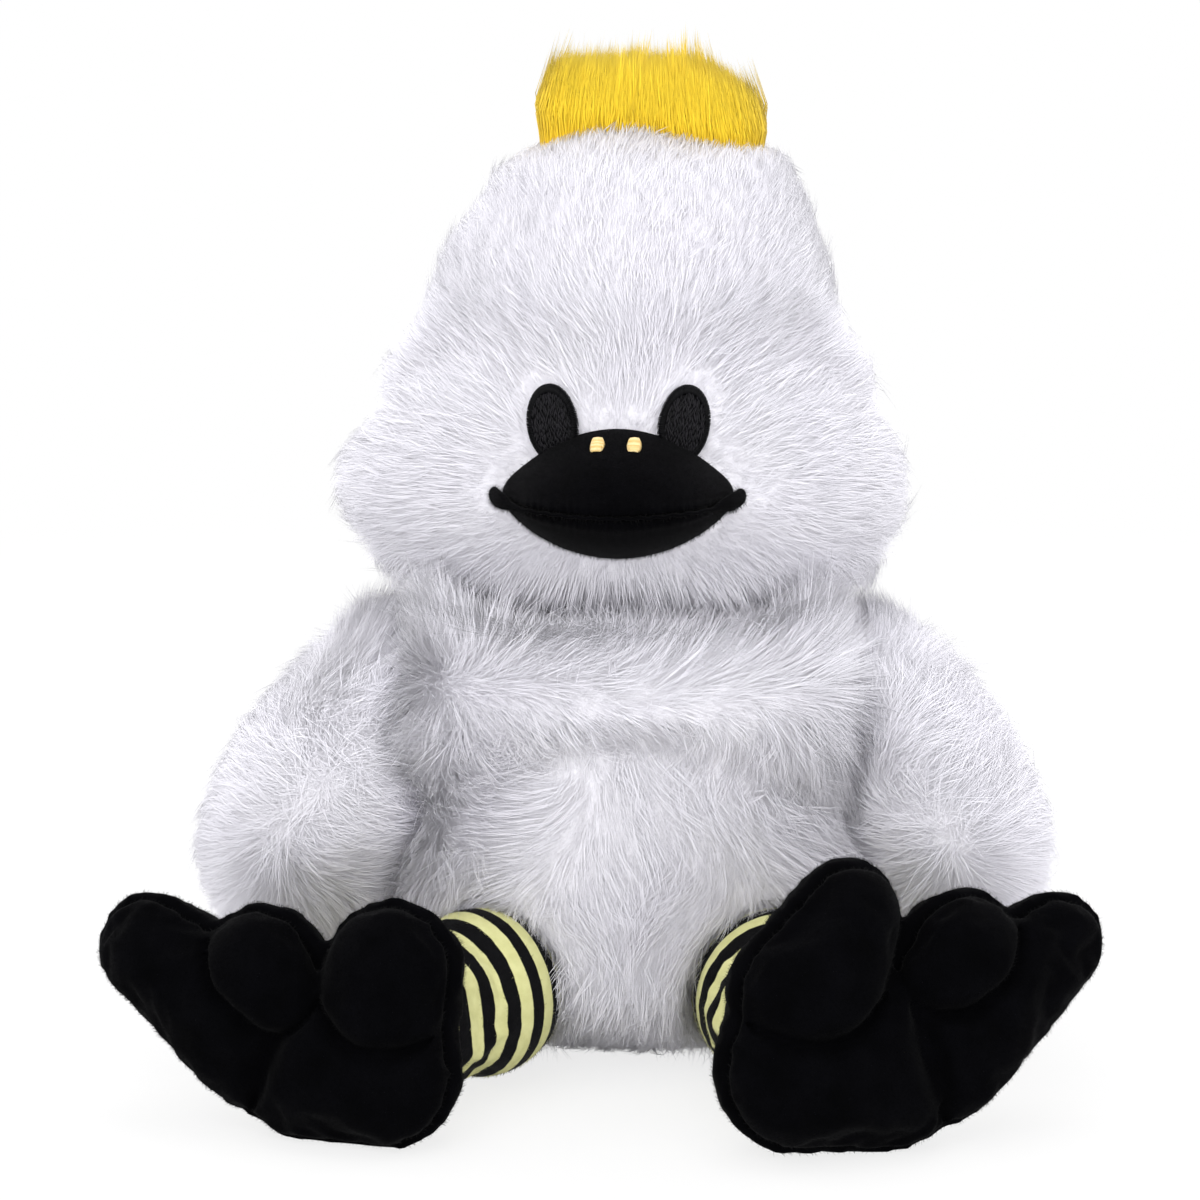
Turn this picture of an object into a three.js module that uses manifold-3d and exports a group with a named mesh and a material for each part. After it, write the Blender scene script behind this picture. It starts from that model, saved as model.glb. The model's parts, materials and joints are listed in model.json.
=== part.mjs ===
// Plush goose, sitting, in millimetres, +Z up, facing -Y; its own left is +X.
// Origin: middle of the flat seat under the body, on the surface that the goose sits on.

import * as THREE from 'three';
import { mergeVertices } from 'three/addons/utils/BufferGeometryUtils.js';
import Module from 'manifold-3d';

// Fabrics and clearances
const GAP = 0.3; // between neighbouring pieces
const SOCKET_GAP = 0.9; // round the balls of the joints
const FUR = 7; // long-pile fur fabric, backing and pile
const PLUSH = 2; // short-pile black fabric
const KNIT = 1.6; // striped leg fabric
const STITCH = 1.4; // embroidery, above the surface that it is sewn on
const STRIP = 1.5; // backing strip of the crest

// Body, in stations from the seat up: rise above the last station, half width, and depth each way
const SEAT_SINK = 12;
const BODY = {
  seat: { rise: 25, halfWidth: 58, front: 55, back: 56 },
  belly: { rise: 29, halfWidth: 66, front: 62, back: 64 },
  waist: { rise: 40, halfWidth: 57, front: 53, back: 57 },
  chest: { rise: 14, halfWidth: 58, front: 55, back: 56 },
  neck: { rise: 16, halfWidth: 46, front: 44, back: 46 },
};
const BODY_TOP_RISE = 12;
const PELLET_DEPTH = 24;

// Neck ball, on which the head turns and nods, and the slope that leaves room for the nod
const NECK_HEIGHT = 112;
const NECK_RADIUS = 24;
const NECK_SLOPE = THREE.MathUtils.degToRad(4);

// Head, in stations from the neck up
const HEAD_SINK = 12;
const HEAD = {
  jowl: { rise: 15, halfWidth: 61, front: 46, back: 50 },
  cheek: { rise: 20, halfWidth: 71, front: 53, back: 56 },
  temple: { rise: 18, halfWidth: 67, front: 53, back: 58 },
  brow: { rise: 14, halfWidth: 58, front: 51, back: 57 },
  forehead: { rise: 14, halfWidth: 51, front: 48, back: 54 },
  crown: { rise: 18, halfWidth: 45, front: 42, back: 48 },
  dome: { rise: 14, halfWidth: 32, front: 30, back: 34 },
};
const HEAD_TOP_RISE = 11;
const HEAD_TURN = THREE.MathUtils.degToRad(-2.7); // the head looks a little to its right

// Beak, a wide flat bill on the face
const BEAK_HEIGHT = 33; // of its middle above the neck
const BEAK_SINK = 6; // of its middle behind the face
const BEAK_HALF_WIDTH = 29.5;
const BEAK_HALF_HEIGHT = 15.5;
const BEAK_POWER = 1.6; // of its oval sections: 2 is an ellipse, less is leaner
const BEAK_REACH = 34;
const BEAK_BACK = 20;
// Sections from the middle to a corner: shares of the half width, the half height and the reach
const BEAK_SECTIONS = [
  { out: 0, height: 1, reach: 1 },
  { out: 0.4, height: 0.86, reach: 0.9 },
  { out: 0.78, height: 0.46, reach: 0.6 },
  { out: 1, height: 0, reach: 0 },
];
const MOUTH_DROP = 3; // of the mouth seam below the beak's middle
const NOSTRIL_SPREAD = 4.6;
const NOSTRIL_REACH = 2; // in front of the beak's middle, on its level
const NOSTRIL_HALF_WIDTH = 1.7;
const NOSTRIL_HALF_HEIGHT = 2.6;
const NOSTRIL_TILT = THREE.MathUtils.degToRad(50); // how far it faces up from straight ahead

// Eyes, upright ovals that lean outward
const EYE_SPREAD = 16.5;
const EYE_HEIGHT = 50; // above the neck
const EYE_HALF_WIDTH = 6;
const EYE_HALF_HEIGHT = 9.2;
const EYE_LEAN = THREE.MathUtils.degToRad(10);

// Crest, a ridge across the crown that leans to the goose's left
const CREST_OFFSET = 6;
const CREST_HALF_LENGTH = 28;
const CREST_HALF_HEIGHT = 15;
const CREST_HALF_DEPTH = 12;
const CREST_RISE = 8; // of its middle above the crown
const CREST_DROOP = 8; // of its left end
// Sections from its right end to its left: shares of the half length, the droop, the height, the depth
const CREST_SECTIONS = [
  { along: -1, lift: -0.4, tall: 0, deep: 0 },
  { along: -0.7, lift: 0.1, tall: 0.76, deep: 0.84 },
  { along: 0, lift: 0.2, tall: 1, deep: 1 },
  { along: 0.7, lift: -0.5, tall: 0.86, deep: 0.9 },
  { along: 1, lift: -1, tall: 0, deep: 0 },
];

// Wings, in stations from the tip up: distance out from the body's middle plane, half thickness, depth
const WING_TIP_HEIGHT = 20;
const WING_FORWARD = 8;
const WING = {
  tip: { rise: 10, out: 80, halfWidth: 22, front: 28, back: 26 },
  wide: { rise: 22, out: 78, halfWidth: 30, front: 41, back: 40 },
  middle: { rise: 18, out: 74, halfWidth: 29, front: 40, back: 39 },
  upper: { rise: 18, out: 67, halfWidth: 24, front: 34, back: 34 },
  shoulder: { rise: 12, out: 61, halfWidth: 18, front: 26, back: 27 },
};
const WING_TOP_RISE = 9;

// Legs, short tubes with a ball at the hip and at the ankle
const HIP_HEIGHT = 22.5;
const HIP_BEARING = THREE.MathUtils.degToRad(36); // from straight ahead, seen from above
const LEG_RADIUS = 17.5;
const HIP_SWELL = 4; // of the hip's socket over the leg
const HIP_RADIUS = LEG_RADIUS + HIP_SWELL;
const LEG_LENGTH = 38; // hip to ankle
const ANKLE_SWELL = 1.5; // of the ankle's socket over the leg
const ANKLE_RADIUS = LEG_RADIUS + ANKLE_SWELL;
const MOUTH_INSET = 8.5; // of the sewn openings at both ends, from the leg's radius
const LEG_MOUTH = LEG_RADIUS - MOUTH_INSET;
const LEG_SPLAY = { left: THREE.MathUtils.degToRad(20), right: THREE.MathUtils.degToRad(45) };

// Feet, flat pillows with three toes, soles facing forward
const FOOT_YAW = THREE.MathUtils.degToRad(18);
const FOOT_PITCH = THREE.MathUtils.degToRad(8);
// How far the inner toes lean outward and up, fading out towards the outer toe
const TOE_LEAN = { left: new THREE.Vector2(14, 7), right: new THREE.Vector2(0, 0) };
const ANKLE_TO_SEAM = 20;
const SOLE_BULGE = 12;
const UPPER_BULGE = 15;
const TOE_GROOVE = 0.3; // share of the thickness that the crease between two toes takes away
const TOE_GROOVE_WIDTH = 0.16;
const FOOT_MIDDLE = new THREE.Vector2(6, 6);
// Outline of the foot round the ankle: outward, up; the heel first, then the inner side and the toes
const FOOT_OUTLINE = [
  [-4, -24],
  [-27, -16],
  [-34, 2],
  [-29, 24],
  [-13, 38],
  [0, 28],
  [16, 37],
  [31, 28],
  [49, 35],
  [61, 24],
  [47, 1],
  [24, -17],
];
const FOOT_NOTCHES = [5, 7]; // outline points between the toes
const FOOT_RINGS = [0.5, 0.85, 1, 0.85, 0.5]; // from the back panel round the seam to the sole
const [INNER_TOE, TOE_HEIGHT] = FOOT_OUTLINE[4];
const [OUTER_TOE] = FOOT_OUTLINE[8];

// Faceting
const BODY_SIDES = 20;
const HEAD_SIDES = 20;
const WING_SIDES = 12;
const LEG_SIDES = 12;
const BEAK_SIDES = 12;
const FOOT_SIDES = 30;
const BALL_SIDES = 16;
const BALL_RINGS = 10;
const ARC_STEPS = 3;
const OVAL_STEPS = 10;
const WELD = 1e-4;
const STEPS = 2; // rings from one station to the next
const BLOCK = 400; // size of the blocks that cut a form in two

const wasm = await Module();
wasm.setup();

// Solids: closed geometry to and from boolean operands

function solid(geometry) {
  const bare = new THREE.BufferGeometry();
  bare.setAttribute('position', geometry.getAttribute('position'));
  bare.setIndex(geometry.getIndex());
  const merged = mergeVertices(bare, WELD);
  const mesh = new wasm.Mesh({
    numProp: 3,
    vertProperties: new Float32Array(merged.getAttribute('position').array),
    triVerts: new Uint32Array(merged.getIndex().array),
  });
  return new wasm.Manifold(mesh);
}

function geometryOf(body) {
  const mesh = body.getMesh();
  const geometry = new THREE.BufferGeometry();
  geometry.setAttribute('position', new THREE.BufferAttribute(new Float32Array(mesh.vertProperties), 3));
  geometry.setIndex(new THREE.BufferAttribute(new Uint32Array(mesh.triVerts), 1));
  geometry.computeVertexNormals();
  return geometry;
}

// The same surface, moved along its own normals: outward where distance is positive
function offset(geometry, distance) {
  const moved = geometry.clone();
  const position = moved.getAttribute('position');
  const normal = geometry.getAttribute('normal');
  const point = new THREE.Vector3();
  const direction = new THREE.Vector3();
  for (let i = 0; i < position.count; i += 1) {
    point.fromBufferAttribute(position, i);
    direction.fromBufferAttribute(normal, i);
    point.addScaledVector(direction, distance);
    position.setXYZ(i, point.x, point.y, point.z);
  }
  moved.computeVertexNormals();
  return moved;
}

function block(center, size = BLOCK) {
  const box = new THREE.BoxGeometry(size, size, size);
  box.translate(center.x, center.y, center.z);
  return solid(box);
}

function ball(radius, center) {
  const sphere = new THREE.SphereGeometry(radius, BALL_SIDES, BALL_RINGS);
  sphere.rotateX(Math.PI / 2);
  sphere.translate(center.x, center.y, center.z);
  return solid(sphere);
}

// Oval prism that cuts an embroidered patch out of a layer: it runs forward, tilted up
function ovalPrism(halfWidth, halfHeight, lean, tilt, center, depth) {
  const oval = new THREE.Shape();
  oval.absellipse(0, 0, halfWidth, halfHeight, 0, Math.PI * 2, false, 0);
  const prism = new THREE.ExtrudeGeometry(oval, { depth, bevelEnabled: false, curveSegments: OVAL_STEPS });
  prism.rotateZ(lean);
  prism.rotateX(Math.PI / 2 - tilt);
  prism.translate(center.x, center.y, center.z);
  return solid(prism);
}

// A closed skin of rings between two end points
function skin(rings, start, end) {
  const sides = rings[0].length;
  const points = [start, ...rings.flat(), end];
  const at = (ring, side) => 1 + ring * sides + (side % sides);
  const index = [];
  for (let side = 0; side < sides; side += 1) {
    index.push(0, at(0, side + 1), at(0, side));
    for (let ring = 0; ring < rings.length - 1; ring += 1) {
      index.push(at(ring, side), at(ring, side + 1), at(ring + 1, side + 1));
      index.push(at(ring, side), at(ring + 1, side + 1), at(ring + 1, side));
    }
    index.push(points.length - 1, at(rings.length - 1, side), at(rings.length - 1, side + 1));
  }
  const geometry = new THREE.BufferGeometry();
  geometry.setFromPoints(points);
  geometry.setIndex(index);
  geometry.computeVertexNormals();
  return geometry;
}

// A stuffed form: rounded rings that swell and taper smoothly through its stations along Z
function plumpForm(stations, sides, power = 2) {
  const last = stations.length - 1;
  const size = (station, sign) =>
    new THREE.Vector3(station.halfWidth, station.front, station.back).multiplyScalar(sign);
  const place = (station) => new THREE.Vector3(station.x, station.y, station.z);
  // The stations next to the ends are mirrored past them, so that the ends are round
  const sizes = [size(stations[1], -1), ...stations.map((s) => size(s, 1)), size(stations[last - 1], -1)];
  const places = [place(stations[1]), ...stations.map(place), place(stations[last - 1])];
  const sizeCurve = new THREE.CatmullRomCurve3(sizes, false, 'catmullrom');
  const placeCurve = new THREE.CatmullRomCurve3(places, false, 'catmullrom');
  const bulged = (share) => Math.sign(share) * Math.abs(share) ** (2 / power);
  const rings = [];
  for (let step = 1; step < last * STEPS; step += 1) {
    const t = (1 + step / STEPS) / (last + 2);
    const half = sizeCurve.getPoint(t);
    const middle = placeCurve.getPoint(t);
    const ring = [];
    for (let side = 0; side < sides; side += 1) {
      const angle = (2 * Math.PI * side) / sides;
      const depth = Math.sin(angle) < 0 ? half.y : half.z;
      const reach = new THREE.Vector3(half.x * bulged(Math.cos(angle)), depth * bulged(Math.sin(angle)), 0);
      ring.push(reach.add(middle));
    }
    rings.push(ring);
  }
  return skin(rings, place(stations[0]), place(stations[last]));
}

// Stations with their heights added up, and a closed end at each side
function stacked(named, startHeight, topRise, placeOf) {
  const closed = { halfWidth: 0, front: 0, back: 0 };
  const list = Object.values(named);
  let height = startHeight;
  const stations = [{ ...closed, ...placeOf(list[0]), z: height }];
  for (const station of list) {
    height += station.rise;
    stations.push({ ...station, ...placeOf(station), z: height });
  }
  height += topRise;
  stations.push({ ...closed, ...placeOf(list[list.length - 1]), z: height });
  return stations;
}

// Where a form's surface lies at a height, going out from its axis in a plan direction
function surfaceRadius(geometry, height, bearing) {
  const mesh = new THREE.Mesh(geometry, new THREE.MeshStandardMaterial({ side: THREE.DoubleSide }));
  const origin = new THREE.Vector3(0, 0, height);
  const direction = new THREE.Vector3(Math.sin(bearing), -Math.cos(bearing), 0);
  const hits = new THREE.Raycaster(origin, direction).intersectObject(mesh);
  return hits[hits.length - 1].distance;
}

const onAxis = () => ({ x: 0, y: 0 });
const SIDES = [['left', 1], ['right', -1]];

// Main forms

const bodyForm = plumpForm(stacked(BODY, -SEAT_SINK, BODY_TOP_RISE, onAxis), BODY_SIDES);
const headStations = stacked(HEAD, NECK_HEIGHT - HEAD_SINK, HEAD_TOP_RISE, onAxis);
const headForm = plumpForm(headStations, HEAD_SIDES);
const crownHeight = headStations[headStations.length - 1].z;

// Everything below a height
const ground = (height) => block(new THREE.Vector3(0, 0, height - BLOCK / 2));

const neckPoint = new THREE.Vector3(0, 0, NECK_HEIGHT);
const neckSocket = ball(NECK_RADIUS + SOCKET_GAP, neckPoint);

// Everything above or below a shallow cone at the neck, so that the head can nod
function neckSide(sign) {
  const edge = BLOCK / 2;
  const start = NECK_HEIGHT + (sign * GAP) / 2;
  const rim = start - sign * edge * Math.tan(NECK_SLOPE);
  const profile = [
    new THREE.Vector2(0, start),
    new THREE.Vector2(edge, rim),
    new THREE.Vector2(edge, start + sign * edge),
    new THREE.Vector2(0, start + sign * edge),
  ];
  if (sign < 0) profile.reverse();
  const cone = new THREE.LatheGeometry(profile, BODY_SIDES);
  cone.rotateX(Math.PI / 2);
  return solid(cone);
}

const aboveNeck = neckSide(1);
const belowNeck = neckSide(-1);

// Hip and ankle of each leg
const hipRadius = surfaceRadius(bodyForm, HIP_HEIGHT, HIP_BEARING);

function hipPoint(side) {
  return new THREE.Vector3(
    side * hipRadius * Math.sin(HIP_BEARING),
    -hipRadius * Math.cos(HIP_BEARING),
    HIP_HEIGHT,
  );
}

const hipSockets = ball(HIP_RADIUS, hipPoint(1)).add(ball(HIP_RADIUS, hipPoint(-1)));

const group = new THREE.Group();
const head = new THREE.Group();
head.rotation.z = HEAD_TURN;
group.add(head);

function addMesh(parent, name, body, color, roughness) {
  const material = new THREE.MeshStandardMaterial({ color, roughness, metalness: 0 });
  const mesh = new THREE.Mesh(geometryOf(body), material);
  mesh.name = name;
  parent.add(mesh);
}

const WHITE = 0xe8e6ee;
const STUFFING = 0xf4f2ec;
const PELLETS = 0xd9d4c8;
const BLACK = 0x101116;
const YELLOW = 0xfdd527;
const GOLD = 0xe9c56a;
const EYE_BLACK = 0x262529;
const STRIPE = 0xdfdc9a;

// Body

function addBody() {
  const room = solid(offset(bodyForm, -FUR)).subtract(ground(FUR));
  const inside = solid(offset(bodyForm, -FUR - GAP)).subtract(ground(FUR + GAP));
  const openings = ground(0).add(aboveNeck).add(neckSocket).add(hipSockets);
  const trim = (body) => body.subtract(openings);
  addMesh(group, 'body_cover', trim(solid(bodyForm).subtract(room)), WHITE, 0.95);
  addMesh(group, 'body_fill', trim(inside.subtract(ground(PELLET_DEPTH + GAP))), STUFFING, 1);
  addMesh(group, 'seat_pellet_bag', trim(inside.intersect(ground(PELLET_DEPTH))), PELLETS, 0.8);
}

// Neck and head

function addHead() {
  addMesh(group, 'neck_fill', ball(NECK_RADIUS, neckPoint), STUFFING, 1);
  const room = solid(offset(headForm, -FUR));
  const inside = solid(offset(headForm, -FUR - GAP));
  const trim = (body) => body.subtract(belowNeck).subtract(neckSocket);
  addMesh(head, 'head_cover', trim(solid(headForm).subtract(room)), WHITE, 0.95);
  addMesh(head, 'head_fill', trim(inside), STUFFING, 1);
}

// Beak: a form of sections from one mouth corner to the other

const face = surfaceRadius(headForm, NECK_HEIGHT + BEAK_HEIGHT, 0);
const beakMiddle = new THREE.Vector3(0, BEAK_SINK - face, NECK_HEIGHT + BEAK_HEIGHT);

function beakForm() {
  const section = (share, side) => ({
    x: 0,
    y: 0,
    z: side * share.out * BEAK_HALF_WIDTH,
    halfWidth: share.height * BEAK_HALF_HEIGHT,
    front: share.reach * BEAK_REACH,
    back: share.height > 0 ? BEAK_BACK : 0,
  });
  const [middle, ...others] = BEAK_SECTIONS;
  const stations = [
    ...others.map((share) => section(share, -1)).reverse(),
    section(middle, 1),
    ...others.map((share) => section(share, 1)),
  ];
  const geometry = plumpForm(stations, BEAK_SIDES, BEAK_POWER);
  geometry.rotateY(Math.PI / 2);
  geometry.translate(beakMiddle.x, beakMiddle.y, beakMiddle.z);
  geometry.computeVertexNormals();
  return geometry;
}

const beak = beakForm();
const headSkin = solid(offset(headForm, GAP));

function addBeak() {
  const room = solid(offset(beak, -PLUSH));
  const cover = solid(beak).subtract(room).subtract(headSkin);
  const mouth = NECK_HEIGHT + BEAK_HEIGHT - MOUTH_DROP;
  addMesh(head, 'beak_upper_cover', cover.subtract(ground(mouth + GAP / 2)), BLACK, 0.9);
  addMesh(head, 'beak_lower_cover', cover.intersect(ground(mouth - GAP / 2)), BLACK, 0.9);
  const fill = solid(offset(beak, -PLUSH - GAP)).subtract(headSkin);
  addMesh(head, 'beak_fill', fill, STUFFING, 1);
}

// Embroidered patches: an oval of the layer just above a surface

function addPatches() {
  const beakSkin = solid(offset(beak, GAP));
  const eyeLayer = solid(offset(headForm, GAP + STITCH)).subtract(headSkin).subtract(beakSkin);
  const beakLayer = solid(offset(beak, GAP + STITCH)).subtract(beakSkin).subtract(headSkin);
  for (const [name, side] of SIDES) {
    const eyeAt = new THREE.Vector3(side * EYE_SPREAD, 0, NECK_HEIGHT + EYE_HEIGHT);
    const eye = ovalPrism(EYE_HALF_WIDTH, EYE_HALF_HEIGHT, -side * EYE_LEAN, 0, eyeAt, BLOCK / 2);
    addMesh(head, `eye_${name}`, eyeLayer.intersect(eye), EYE_BLACK, 0.45);
    const nostrilAt = beakMiddle.clone();
    nostrilAt.add(new THREE.Vector3(side * NOSTRIL_SPREAD, -NOSTRIL_REACH, 0));
    const nostril = ovalPrism(
      NOSTRIL_HALF_WIDTH,
      NOSTRIL_HALF_HEIGHT,
      0,
      NOSTRIL_TILT,
      nostrilAt,
      BLOCK / 2,
    );
    addMesh(head, `nostril_${name}`, beakLayer.intersect(nostril), GOLD, 0.4);
  }
}

// Crest

function addCrest() {
  const stations = CREST_SECTIONS.map((section) => ({
    x: -section.lift * CREST_DROOP,
    y: 0,
    z: section.along * CREST_HALF_LENGTH,
    halfWidth: section.tall * CREST_HALF_HEIGHT,
    front: section.deep * CREST_HALF_DEPTH,
    back: section.deep * CREST_HALF_DEPTH,
  }));
  const ridge = plumpForm(stations, BEAK_SIDES);
  ridge.rotateY(Math.PI / 2);
  ridge.translate(CREST_OFFSET, 0, crownHeight + CREST_RISE);
  ridge.computeVertexNormals();
  const backingTop = solid(offset(headForm, GAP + STRIP));
  const seat = solid(offset(headForm, GAP + STRIP + GAP));
  addMesh(head, 'crest_backing', solid(ridge).intersect(backingTop).subtract(headSkin), YELLOW, 0.95);
  addMesh(head, 'crest_tuft', solid(ridge).subtract(seat), YELLOW, 0.95);
}

// Wings

function addWing(name, side) {
  const shoulder = (station) => ({ x: side * station.out, y: -WING_FORWARD });
  const form = plumpForm(stacked(WING, WING_TIP_HEIGHT, WING_TOP_RISE, shoulder), WING_SIDES);
  const bodySkin = solid(offset(bodyForm, GAP));
  const trim = (body) => body.subtract(bodySkin).subtract(aboveNeck);
  const room = solid(offset(form, -FUR));
  addMesh(group, `wing_${name}_cover`, trim(solid(form).subtract(room)), WHITE, 0.95);
  addMesh(group, `wing_${name}_fill`, trim(solid(offset(form, -FUR - GAP))), STUFFING, 1);
}

// Feet, in their own frame at the ankle: X sideways, Y up the sole, Z out of the sole

function footForm(name, side) {
  const points = FOOT_OUTLINE.map(([out, up]) => {
    const inner = THREE.MathUtils.clamp((OUTER_TOE - out) / (OUTER_TOE - INNER_TOE), 0, 1);
    const lean = inner * THREE.MathUtils.clamp(up / TOE_HEIGHT, 0, 1);
    return new THREE.Vector3(side * (out + lean * TOE_LEAN[name].x), up + lean * TOE_LEAN[name].y, 0);
  });
  if (side < 0) points.reverse();
  const middle = new THREE.Vector3(side * FOOT_MIDDLE.x, FOOT_MIDDLE.y, 0);
  const outline = new THREE.CatmullRomCurve3(points, true, 'catmullrom');
  const bearing = (point) => Math.atan2(point.y - middle.y, side * (point.x - middle.x));
  const notches = FOOT_NOTCHES.map((i) => bearing(points[side > 0 ? i : points.length - 1 - i]));
  const groove = (angle) => notches.reduce(
    (sum, notch) => sum + TOE_GROOVE * Math.exp(-(((angle - notch) / TOE_GROOVE_WIDTH) ** 2)),
    0,
  );
  const seam = FOOT_RINGS.indexOf(1);
  const rings = FOOT_RINGS.map((share, ring) => {
    const sign = Math.sign(ring - seam);
    const bulge = sign < 0 ? UPPER_BULGE : SOLE_BULGE;
    const list = [];
    for (let i = 0; i < FOOT_SIDES; i += 1) {
      const edge = outline.getPoint(1 - i / FOOT_SIDES);
      const height = bulge * Math.sqrt(1 - share ** 2) * (1 - share * groove(bearing(edge)));
      const point = edge.sub(middle).multiplyScalar(share).add(middle);
      list.push(point.setZ(ANKLE_TO_SEAM + sign * height));
    }
    return list;
  });
  const back = middle.clone().setZ(ANKLE_TO_SEAM - UPPER_BULGE);
  const front = middle.clone().setZ(ANKLE_TO_SEAM + SOLE_BULGE);
  return skin(rings, back, front);
}

function footTurn(side) {
  const turn = new THREE.Matrix4().makeRotationZ(side * FOOT_YAW);
  return turn.multiply(new THREE.Matrix4().makeRotationX(Math.PI / 2 - FOOT_PITCH));
}

function addLegAndFoot(name, side) {
  const form = footForm(name, side);
  const turn = footTurn(side);
  const posed = form.clone().applyMatrix4(turn);
  posed.computeBoundingBox();

  // The heel rests on the floor, and the leg slopes to meet the ankle
  const hip = hipPoint(side);
  const drop = -posed.boundingBox.min.z - HIP_HEIGHT;
  const run = Math.sqrt(LEG_LENGTH ** 2 - drop ** 2);
  const splay = LEG_SPLAY[name];
  const ankle = hip.clone();
  ankle.add(new THREE.Vector3(side * run * Math.sin(splay), -run * Math.cos(splay), drop));

  const foot = new THREE.Group();
  foot.position.copy(ankle);
  foot.quaternion.setFromRotationMatrix(turn);
  group.add(foot);
  const socket = ball(ANKLE_RADIUS, new THREE.Vector3());
  const cover = solid(form).subtract(solid(offset(form, -PLUSH))).subtract(socket);
  const front = block(new THREE.Vector3(0, 0, ANKLE_TO_SEAM + GAP / 2 + BLOCK / 2));
  const rear = block(new THREE.Vector3(0, 0, ANKLE_TO_SEAM - GAP / 2 - BLOCK / 2));
  addMesh(foot, `foot_${name}_sole`, cover.intersect(front), BLACK, 0.9);
  addMesh(foot, `foot_${name}_upper`, cover.intersect(rear), BLACK, 0.9);
  addMesh(foot, `foot_${name}_fill`, solid(offset(form, -PLUSH - GAP)).subtract(socket), STUFFING, 1);

  const leg = new THREE.Group();
  leg.position.copy(hip);
  const along = ankle.clone().sub(hip).normalize();
  leg.quaternion.setFromUnitVectors(new THREE.Vector3(0, 1, 0), along);
  group.add(leg);
  const outer = legProfile(0);
  const lining = legProfile(KNIT).reverse();
  const shell = new THREE.LatheGeometry([...outer, ...lining, outer[0]], LEG_SIDES);
  addMesh(leg, `leg_${name}_cover`, solid(shell), STRIPE, 0.85);
  const core = legProfile(KNIT + GAP);
  const bottom = new THREE.Vector2(0, core[0].y);
  const top = new THREE.Vector2(0, core[core.length - 1].y);
  const fill = new THREE.LatheGeometry([bottom, ...core, top], LEG_SIDES);
  addMesh(leg, `leg_${name}_fill`, solid(fill), STUFFING, 1);
}

// Half outline of a leg, set in by a depth: hip ball, tube, ankle ball, each ball open at its mouth
function legProfile(inset) {
  const tube = LEG_RADIUS - inset;
  const hip = HIP_RADIUS - SOCKET_GAP - inset;
  const ankle = ANKLE_RADIUS - SOCKET_GAP - inset;
  const mouth = LEG_MOUTH - inset;
  const points = [];
  const arc = (radius, center, from, to) => {
    for (let i = 0; i <= ARC_STEPS; i += 1) {
      const angle = from + ((to - from) * i) / ARC_STEPS;
      points.push(new THREE.Vector2(radius * Math.cos(angle), center + radius * Math.sin(angle)));
    }
  };
  arc(hip, 0, -Math.acos(mouth / hip), Math.acos(tube / hip));
  arc(ankle, LEG_LENGTH, -Math.acos(tube / ankle), Math.acos(mouth / ankle));
  return points;
}

addBody();
addHead();
addBeak();
addPatches();
addCrest();
for (const [name, side] of SIDES) {
  addWing(name, side);
  addLegAndFoot(name, side);
}

export default group;
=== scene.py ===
"""Plush goose: the looks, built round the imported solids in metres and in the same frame."""

import json
import math
from collections import namedtuple

import bpy
import numpy as np
from mathutils import Matrix, Vector


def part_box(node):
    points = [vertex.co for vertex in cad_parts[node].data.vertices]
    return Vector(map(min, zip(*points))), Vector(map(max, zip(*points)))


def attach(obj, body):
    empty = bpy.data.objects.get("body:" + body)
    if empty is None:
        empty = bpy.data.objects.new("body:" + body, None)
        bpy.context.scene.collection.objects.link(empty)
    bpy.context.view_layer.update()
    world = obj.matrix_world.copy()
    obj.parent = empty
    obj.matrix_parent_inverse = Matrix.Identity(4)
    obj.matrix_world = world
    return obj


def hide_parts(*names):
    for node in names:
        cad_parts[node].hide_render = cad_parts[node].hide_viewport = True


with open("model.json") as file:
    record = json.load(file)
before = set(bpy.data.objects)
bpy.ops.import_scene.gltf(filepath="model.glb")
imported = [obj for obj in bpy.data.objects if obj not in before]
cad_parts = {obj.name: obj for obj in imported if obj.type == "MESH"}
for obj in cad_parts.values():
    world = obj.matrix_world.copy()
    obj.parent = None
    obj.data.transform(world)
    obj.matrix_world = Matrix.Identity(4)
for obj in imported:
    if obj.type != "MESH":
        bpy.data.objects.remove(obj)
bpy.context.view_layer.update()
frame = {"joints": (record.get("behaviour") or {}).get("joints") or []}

MM = 0.001
JOINTS = {joint["name"]: joint for joint in frame["joints"]}
SIDES = {"left": 1, "right": -1}  # the goose's own left is +X
UP, DOWN = np.array([0, 0, 1.0]), np.array([0, 0, -1.0])

# Camera, as the photograph was taken
CAMERA_AIM = np.array([-6.5, 0, 109.8])
CAMERA_DISTANCE = 1100
CAMERA_ELEVATION = math.radians(11)
CAMERA_LENS, CAMERA_SENSOR = 132, 36

# Lamps: place, size and power
LAMPS = {
    "key": ((-0.4, -1.35, 1.0), 1.2, 12.0),
    "fill": ((0.8, -1.4, 0.4), 0.9, 6.0),
    "top": ((0.0, -0.1, 1.6), 1.0, 4.5),
    "back_left": ((1.3, 0.9, 0.8), 1.0, 9.0),
    "back_right": ((-1.3, 0.9, 0.8), 1.0, 9.0),
}
LAMP_AIM = Vector((0, 0, 0.11))
WORLD_LIGHT = 0.8  # on the goose, while the camera sees a strength of 1, which is white

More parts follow.
